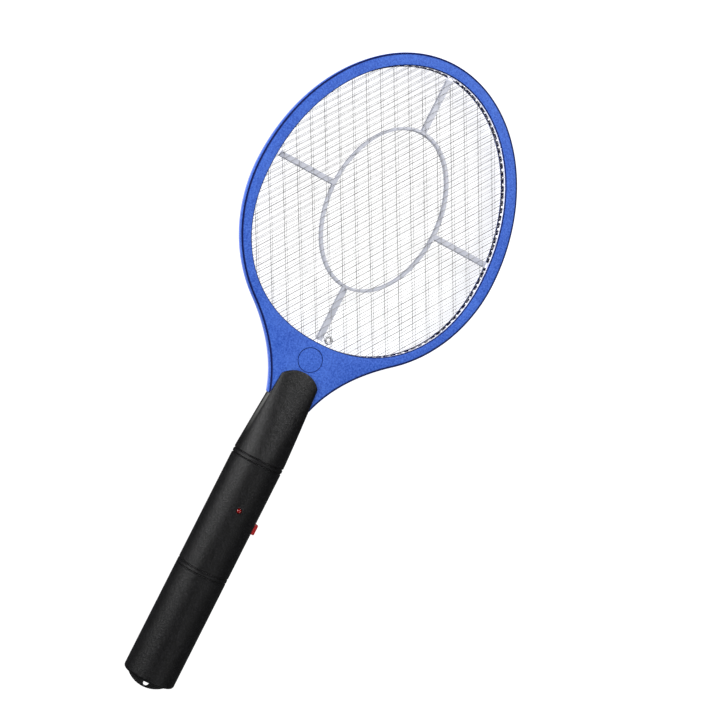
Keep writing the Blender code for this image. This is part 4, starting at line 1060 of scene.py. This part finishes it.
def shellMesh(side, start, end, closedButt):
    wall, rows = handle["wall"], []
    if closedButt:
        rows = buttRows(side)
        start = handle["butt"] + handle["buttRounding"] + 0.4
    places = [(start, 0.0), (end, 0.0)]
    for groove in handle["grooves"]:
        for line in (groove - handle["grooveSpacing"] / 2, groove + handle["grooveSpacing"] / 2):
            for y, depth in handle["groove"]:
                places += [(line + y, depth), (line - y, depth)]
    y = start + 6
    while y < end - 1:
        if all(abs(y - place[0]) > 1 for place in places):
            places.append((y, 0.0))
        y += 3.0 if y > handle["neckStart"] - 4 else 8.0
    for y, depth in sorted(places):
        if start <= y <= end:
            width, deep, crown = sectionAt(y, side)
            innerY = max(y, handle["butt"] + handle["endWall"] + 0.6)
            outer = (y, width - depth, deep - depth, crown)
            rows.append(halfLoop(side, outer, (innerY, width - wall, deep - wall, crown)))
    bm = bmesh.new()
    made = loft(bm, rows)
    for row in (made[0], made[-1]):
        for i in range(handle["columns"]):
            j = len(row) - 1 - i
            bm.faces.new((row[i], row[i + 1], row[j - 1], row[j]))
    return meshOf(bm)


def ringAt(x, y, radius, steps):
    return arc((x, y), radius, 0, 2 * math.pi, steps)[:-1]


def neckCut(side):
    # the room for the head's tang and throat between the two shells
    low, high = sorted((-4 * side, (head["face"] + 0.3) * side))
    return box((-handle["clear"], head["shoulder"], low), (handle["clear"], handle["clear"], high))


def lipCut(side):
    # rounds the end of the neck to an arch
    middle, clear = handle["lipTip"] - handle["lipRadius"], handle["clear"]
    turn = math.acos(handle["lipCutHalfWidth"] / handle["lipRadius"])
    edge = arc((0, middle), handle["lipRadius"], math.pi - turn, turn, 60)
    outline = [(-clear, edge[0][1]), *edge, (clear, edge[0][1]), (clear, clear), (-clear, clear)]
    low, high = sorted((-2 * side, clear * side))
    return plate([outline], low, high)


button = {"halfLength": 3.65, "halfHeight": 2.1, "slotGap": 0.4, "flange": 1.4, "rib": 0.22, "ribPitch": 1.35}


def slotCut():
    y = middleOf("push_button").y
    halfLength = button["halfLength"] + button["slotGap"]
    halfHeight = button["halfHeight"] + button["slotGap"]
    low = (handle["radius"] * 0.6, y - halfLength, -halfHeight)
    return box(low, (handle["clear"], y + halfLength, halfHeight), 0.8)


def hangTab():
    radius = (tab["halfChord"] ** 2 + tab["length"] ** 2) / (2 * tab["length"])
    middle = handle["butt"] - tab["length"] + radius
    half = math.acos((middle - handle["butt"] - 1.3) / radius)
    edge = arc((0, middle), radius, -math.pi / 2 - half, -math.pi / 2 + half, 48)
    hole = ringAt(0, handle["butt"] - tab["holeOut"], tab["hole"], 40)
    return plate([edge, hole], tab["low"], tab["low"] + tab["thickness"], 0.6, 3)


leads = {"radius": 0.7, "aside": 6.5, "height": 9.5, "hole": 1.2}  # where they pass the bulkhead


def bulkhead():
    # the wall between the cells and the board, with a hole for each battery lead
    inner = handle["radius"] - handle["wall"]
    grown, free, flat = inner + 0.8, inner - 0.6, 3.0 - inner
    first = math.asin(0.3 / grown)
    lowTurn = math.asin(flat / free)
    upper = arc((0, 0), grown, first, math.pi - first, 60)
    lower = arc((0, 0), free, math.pi, math.pi - lowTurn, 16)
    outline = upper + lower + [(-x, z) for x, z in reversed(lower)]
    holes = [ringAt(x, leads["height"], leads["hole"], 24) for x in (-leads["aside"], leads["aside"])]
    return stoodUp(plate([outline, *holes], 0, 1.6, 0.2), bulkheadY)


bulkheadY = span("positive_contact")[1].y + 0.3
lamp = {
    "y": middleOf("power_led").y,
    "hole": ((0, 30), (2.0, 30), (2.0, 17.9), (1.75, 17.5), (1.75, 13), (0, 13)),
    "lens": 1.6,
    "dome": 1.2,
    "collar": 1.95,
}
lampHole = moved(turned(lamp["hole"], 40), (0, lamp["y"], 0))
frontShell = shellMesh(1, handle["butt"], handle["neckEnd"], True)
frontShell = worked(frontShell, [hangTab(), bulkhead()], "UNION")
frontShell = worked(frontShell, [neckCut(1), lipCut(1), slotCut(), lampHole])
settle("frontShell", frontShell, "black_plastic", ["front_handle_shell"])
print("front shell made")

doorEnd = handle["grooves"][0] - handle["grooveSpacing"] / 2 - 0.15
rearShell = shellMesh(-1, doorEnd + 0.3, handle["neckEnd"], False)
well = {"wall": 4.2, "bore": 2.9, "mouth": 3.3, "top": -6.0, "head": 1.8}
wells, bores = [], []
for node in handleScrews:
    y, seat = middleOf(node).y, span(node)[0].z + well["head"]
    deep = sectionAt(y)[1]
    profile = [(0, well["top"]), (well["wall"], well["top"]), (well["wall"], 1.1 - deep), (0, 1.1 - deep)]
    wells.append(moved(turned(profile, 40), (0, y, 0)))
    profile = [(0, seat), (well["bore"], seat), (well["bore"], 0.35 - deep), (well["mouth"], -deep - 0.05)]
    profile += [(well["mouth"], -30), (0, -30)]
    bores.append(moved(turned(profile, 40), (0, y, 0)))
rearShell = worked(rearShell, wells, "UNION")
rearShell = worked(rearShell, bores + [neckCut(-1), lipCut(-1), slotCut()])
settle("rearShell", rearShell, "black_plastic", ["rear_handle_shell"])
print("rear shell made")

door = {
    "ridges": 7,
    "ridgePitch": 2.4,
    "ridgeStart": 9.0,  # from the door's end
    "ridgeHalfWidth": 7.0,
    "ridgeRadius": 0.55,
    "tongueHalfWidth": 5.0,
    "tongue": 1.2,  # thickness
    "tongueReach": 2.2,
}


def gripTools():
    # round grooves across the door, shorter towards both ends of the patch
    tools, radius = [], handle["radius"]
    for number in range(door["ridges"]):
        y = doorEnd - door["ridgeStart"] - number * door["ridgePitch"]
        half = (door["ridgeHalfWidth"] - abs(number - 3) * 0.8) / radius
        turns = [-math.pi / 2 + (step / 12 - 0.5) * 2 * half for step in range(13)]
        bm = bmesh.new()
        tube(bm, [(radius * math.cos(a), y, radius * math.sin(a)) for a in turns], door["ridgeRadius"], 12)
        tools.append(meshOf(bm))
    return tools


def doorMesh():
    shape = worked(shellMesh(-1, handle["butt"], doorEnd, True), gripTools())
    inner, half = handle["radius"] - handle["wall"], door["tongueHalfWidth"]
    end = doorEnd + door["tongueReach"]
    top = 0.3 - math.sqrt(inner**2 - half**2)
    outline = [(-half, doorEnd - 5.5), (half, doorEnd - 5.5), (half, end - 1), (half - 1, end)]
    outline += [(1 - half, end), (-half, end - 1)]
    tongue = plate([outline], top, top + door["tongue"], 0.2)
    web = box((0.2 - half, doorEnd - 5.3, -inner - 0.6), (half - 0.2, doorEnd - 0.9, top + 0.6))
    return worked(shape, [tongue, web], "UNION")


settle("batteryDoor", doorMesh(), "black_plastic", ["battery_door"], body="battery_door")
print("door made")


def buttonMesh():
    low, high = span("push_button")
    y, halfLength, halfHeight = middleOf("push_button").y, button["halfLength"], button["halfHeight"]
    flange = box((low.x, low.y, low.z), (low.x + button["flange"], high.y, high.z), 0.3, 3)
    cap = box((low.x + 0.7, y - halfLength, -halfHeight), (high.x, y + halfLength, halfHeight), 0.7, 6)
    ribs = []
    for number in range(4):
        ribY = y + (number - 1.5) * button["ribPitch"]
        bm = bmesh.new()
        tube(bm, [(high.x, ribY, -3), (high.x, ribY, 3)], button["rib"], 12)
        ribs.append(meshOf(bm))
    return worked(worked(cap, [flange], "UNION"), ribs)


settle("pushButton", buttonMesh(), "red_plastic", ["push_button"], body="push_button")


def plungerMesh():
    low, high = span("switch_plunger")
    middle, radius = middleOf("switch_plunger"), (high.y - low.y) / 2
    length = high.x - low.x
    profile = [(0, length), (radius * 0.7, length), (radius * 0.92, length - 0.12), (radius, length - 0.4)]
    profile += [(radius, length * 0.62), (radius * 0.86, length * 0.6), (radius * 0.86, length * 0.5)]
    profile += [(radius, length * 0.48), (radius, 0.1), (radius * 0.9, 0), (0, 0)]
    return moved(turned(profile, 32), (low.x, middle.y, middle.z), (math.pi / 2, "Y"))


settle("switchPlunger", plungerMesh(), "red_plastic", ["switch_plunger"], body="switch_plunger")


def lampMesh():
    low, high = span("power_led")
    lens, collar = lamp["lens"], lamp["collar"]
    profile = [(0, high.z)]
    for step in range(1, 13):
        a = math.pi / 2 * (1 - step / 12)
        profile.append((lens * math.cos(a), high.z - lamp["dome"] * (1 - math.sin(a))))
    profile += [(lens, low.z + 1.0), (collar, low.z + 0.95), (collar, low.z + 0.05)]
    profile += [(collar - 0.07, low.z), (0, low.z)]
    return moved(turned(profile), (0, lamp["y"], 0))


settle("powerLamp", lampMesh(), "red_lens", ["power_led"])
print("button and lamp made")


cell = {"nub": 2.75, "nubLength": 1.0}


def cellMesh(low, high, nubHigh):
    # a shouldered can with its nub at the top and a shallow dish at the bottom
    radius, length, nub = (high.x - low.x) / 2, high.y - low.y, cell["nub"]
    profile = [(0, length), (nub - 0.35, length), (nub - 0.1, length - 0.1), (nub, length - 0.35)]
    profile += [(nub, length - cell["nubLength"]), (4.6, length - 1.05), (4.9, length - 1.35)]
    profile += [(radius - 0.7, length - 1.35), (radius - 0.5, length - 1.0), (radius - 0.2, length - 1.05)]
    profile += [(radius, length - 1.35), (radius, 0.45), (radius - 0.15, 0.15), (radius - 0.6, 0.1)]
    profile += [(radius - 0.8, 0.35), (radius - 1.6, 0.4), (radius - 2.0, 0.0), (0, 0)]
    middle = (low + high) / 2
    if nubHigh:
        return moved(turned(profile, 72), (middle.x, low.y, middle.z), (-math.pi / 2, "X"))
    return moved(turned(profile, 72), (middle.x, high.y, middle.z), (math.pi / 2, "X"))


for side, nubHigh in (("Right", True), ("Left", False)):
    node = f"battery_cell_{side.lower()}"
    low, high = span(node)
    wrap = cellWrap(f"cellWrap{side}", low.y, high.y, nubHigh)
    settle(f"cell{side}", cellMesh(low, high, nubHigh), "cell_wrap", [node], finish=wrap)

spring = {"wire": 0.4, "turns": 4, "wide": 4.6, "small": 2.8, "flat": 0.14}  # flat share of each end


def springMesh(node, wideLow):
    # a cone of wire whose end turns lie flat
    low, high = span(node)
    wire, steps, middle = spring["wire"], spring["turns"] * 28, middleOf(node)
    start, end = (low.y + wire, high.y - wire) if wideLow else (high.y - wire, low.y + wire)
    points = []
    for step in range(steps + 1):
        share = step / steps
        rise = min(max((share - spring["flat"]) / (1 - 2 * spring["flat"]), 0), 1)
        radius = spring["wide"] + (spring["small"] - spring["wide"]) * share
        a = 2 * math.pi * spring["turns"] * share
        points.append((middle.x + radius * math.cos(a), start + (end - start) * rise, radius * math.sin(a)))
    bm = bmesh.new()
    tube(bm, points, wire)
    return meshOf(bm)


settle("bridgeSpring", springMesh("bridge_spring", True), "spring_steel", ["bridge_spring"])
settle("negativeSpring", springMesh("negative_spring", False), "spring_steel", ["negative_spring"])


def contactMesh(node):
    # a stamped plate with round corners
    low, high = span(node)
    middleX, corner, outline = middleOf(node).x, 1.6, []
    corners = ((high.x, high.z, 0), (low.x, high.z, 1), (low.x, low.z, 2), (high.x, low.z, 3))
    for x, z, quarter in corners:
        middle = (x - math.copysign(corner, x - middleX), z - math.copysign(corner, z))
        outline += arc(middle, corner, quarter * math.pi / 2, (quarter + 1) * math.pi / 2, 8)
    return stoodUp(plate([outline], 0, high.y - low.y, 0.08), low.y)


for node in ("positive_contact", "negative_contact", "bridge_plate"):
    settle(camelName(node), contactMesh(node), "spring_steel", [node])


def leadMesh(points):
    bm = bmesh.new()
    tube(bm, smoothRoute(points), leads["radius"], 12)
    return meshOf(bm)


board = span("circuit_board")
boardStart, boardEnd, padTop = board[0].y, board[1].y, board[1].z + 1.0
for side, node, slot in ((1, "battery_lead_red", "lead_red"), (-1, "battery_lead_black", "lead_black")):
    x, height = leads["aside"] * side, leads["height"]
    points = [
        (x, bulkheadY - 1.2, height),
        (x, bulkheadY + 5, height),
        (x * 1.05, bulkheadY + 12, height * 0.75),
        (x * 0.95, bulkheadY + 19, height * 0.3),
        (x, boardStart - 1, padTop + 0.6),
        (x, boardStart + 4, padTop),
    ]
    settle(camelName(node), leadMesh(points), slot, [node])

gridEnd = openingBottom - spacer["reach"] - leads["radius"] - 0.3
tangX = head["tangHalfWidth"] - head["wall"] - leads["radius"] - 1.2
gridLeads = ((1, "grid_lead_outer", 2.2, "lead_white"), (-1, "grid_lead_inner", 0, "lead_red"))
for side, node, endZ, slot in gridLeads:
    x, endX = tangX * side, 4 * side
    points = [
        (x * 0.8, boardEnd - 2.5, padTop),
        (x * 0.8, boardEnd + 1, padTop + 0.2),
        (x, middleOf("handle_screw_upper").y + 4, padTop + 2.5),
        (x, head["tangEnd"] - 6, 0),
        (x, head["tangEnd"] + 4, 0),
        (x, middleOf("neck_screw").y, 0),
        (x, head["shoulder"], 0),
        (x * 0.85, head["shoulder"] + 14, endZ * 0.4),
        (endX, gridEnd - 9, endZ),
        (endX, gridEnd, endZ),
    ]
    settle(camelName(node), leadMesh(points), slot, [node])
print("battery compartment and leads made")

# pieces whose shape is already right keep it, and take a finish
kept = {
    "board_green": ["circuit_board"],
    "ferrite": ["transformer_core"],
    "winding_tape": ["transformer_winding"],
    "film_red": ["storage_capacitor", "booster_capacitor_1", "booster_capacitor_2"],
    "component_black": ["diode_1", "diode_2", "diode_3", "transistor", "switch_body"],
    "resistor_tan": ["resistor_1", "resistor_2"],
    "steel": ["led_lead_anode", "led_lead_cathode"],
}
for slot, names in kept.items():
    for name in names:
        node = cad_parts[name]
        node.data.materials.clear()
        node.data.materials.append(finishes[slot])


def makeFloor():
    bm = bmesh.new()
    bmesh.ops.create_grid(bm, x_segments=2, y_segments=2, size=6)
    mesh = meshOf(bm)
    mesh.materials.append(paleFloor())
    floor = bpy.data.objects.new("floor", mesh)
    floor.location.z = -0.0005
    floor.visible_glossy = False  # keeps its glow out of the black plastic
    bpy.context.scene.collection.objects.link(floor)


def makeLight(name, place, aim, size, power):
    light = bpy.data.lights.new(name, "AREA")
    light.shape = "RECTANGLE"
    light.size, light.size_y = size
    light.energy = power
    stand = bpy.data.objects.new(name, light)
    stand.location = place
    stand.rotation_euler = (Vector(aim) - Vector(place)).to_track_quat("-Z", "Y").to_euler()
    bpy.context.scene.collection.objects.link(stand)


def makeWorld(strength):
    world = bpy.data.worlds.new("studio")
    world.use_nodes = True
    background = world.node_tree.nodes["Background"]
    background.inputs["Color"].default_value = (1, 1, 1, 1)
    background.inputs["Strength"].default_value = strength
    bpy.context.scene.world = world


view = {
    "aim": (0.0315, 0.0261, 0.0178),
    "distance": 1.0,
    "lens": 75.5,
    "roll": 27.70,
    "yaw": 14.54,
    "pitch": -5.81,
}


def makeCamera():
    roll, yaw, pitch = (math.radians(view[key]) for key in ("roll", "yaw", "pitch"))
    flat = Vector((-math.sin(roll), math.cos(roll), 0))
    out = Vector((-math.sin(yaw) * math.cos(roll), -math.sin(yaw) * math.sin(roll), math.cos(yaw)))
    right = Vector((math.cos(roll) * math.cos(yaw), math.sin(roll) * math.cos(yaw), math.sin(yaw)))
    up = flat * math.cos(pitch) + out * math.sin(pitch)
    back = out * math.cos(pitch) - flat * math.sin(pitch)
    camera = bpy.data.objects.new("camera", bpy.data.cameras.new("camera"))
    camera.data.lens = view["lens"]
    camera.data.sensor_width = 36
    camera.data.clip_start, camera.data.clip_end = 0.01, 50
    turn = Matrix((right, up, back)).transposed().to_4x4()
    camera.matrix_world = Matrix.Translation(Vector(view["aim"]) + back * view["distance"]) @ turn
    bpy.context.scene.collection.objects.link(camera)
    bpy.context.scene.camera = camera


makeFloor()
makeWorld(0.07)
makeLight("leftSoftbox", (-1.35, 0.2, 0.55), (0, 0, 0), (0.5, 1.6), 26)
makeLight("upperSoftbox", (0.43, 0.75, 1.4), (0, 0.05, 0), (0.5, 0.5), 14)
makeLight("fillSoftbox", (0.9, -1.0, 1.2), (0, 0, 0), (1.0, 1.0), 5)
bpy.context.scene.view_settings.view_transform = "Standard"
makeCamera()
print("floor, light and camera made")
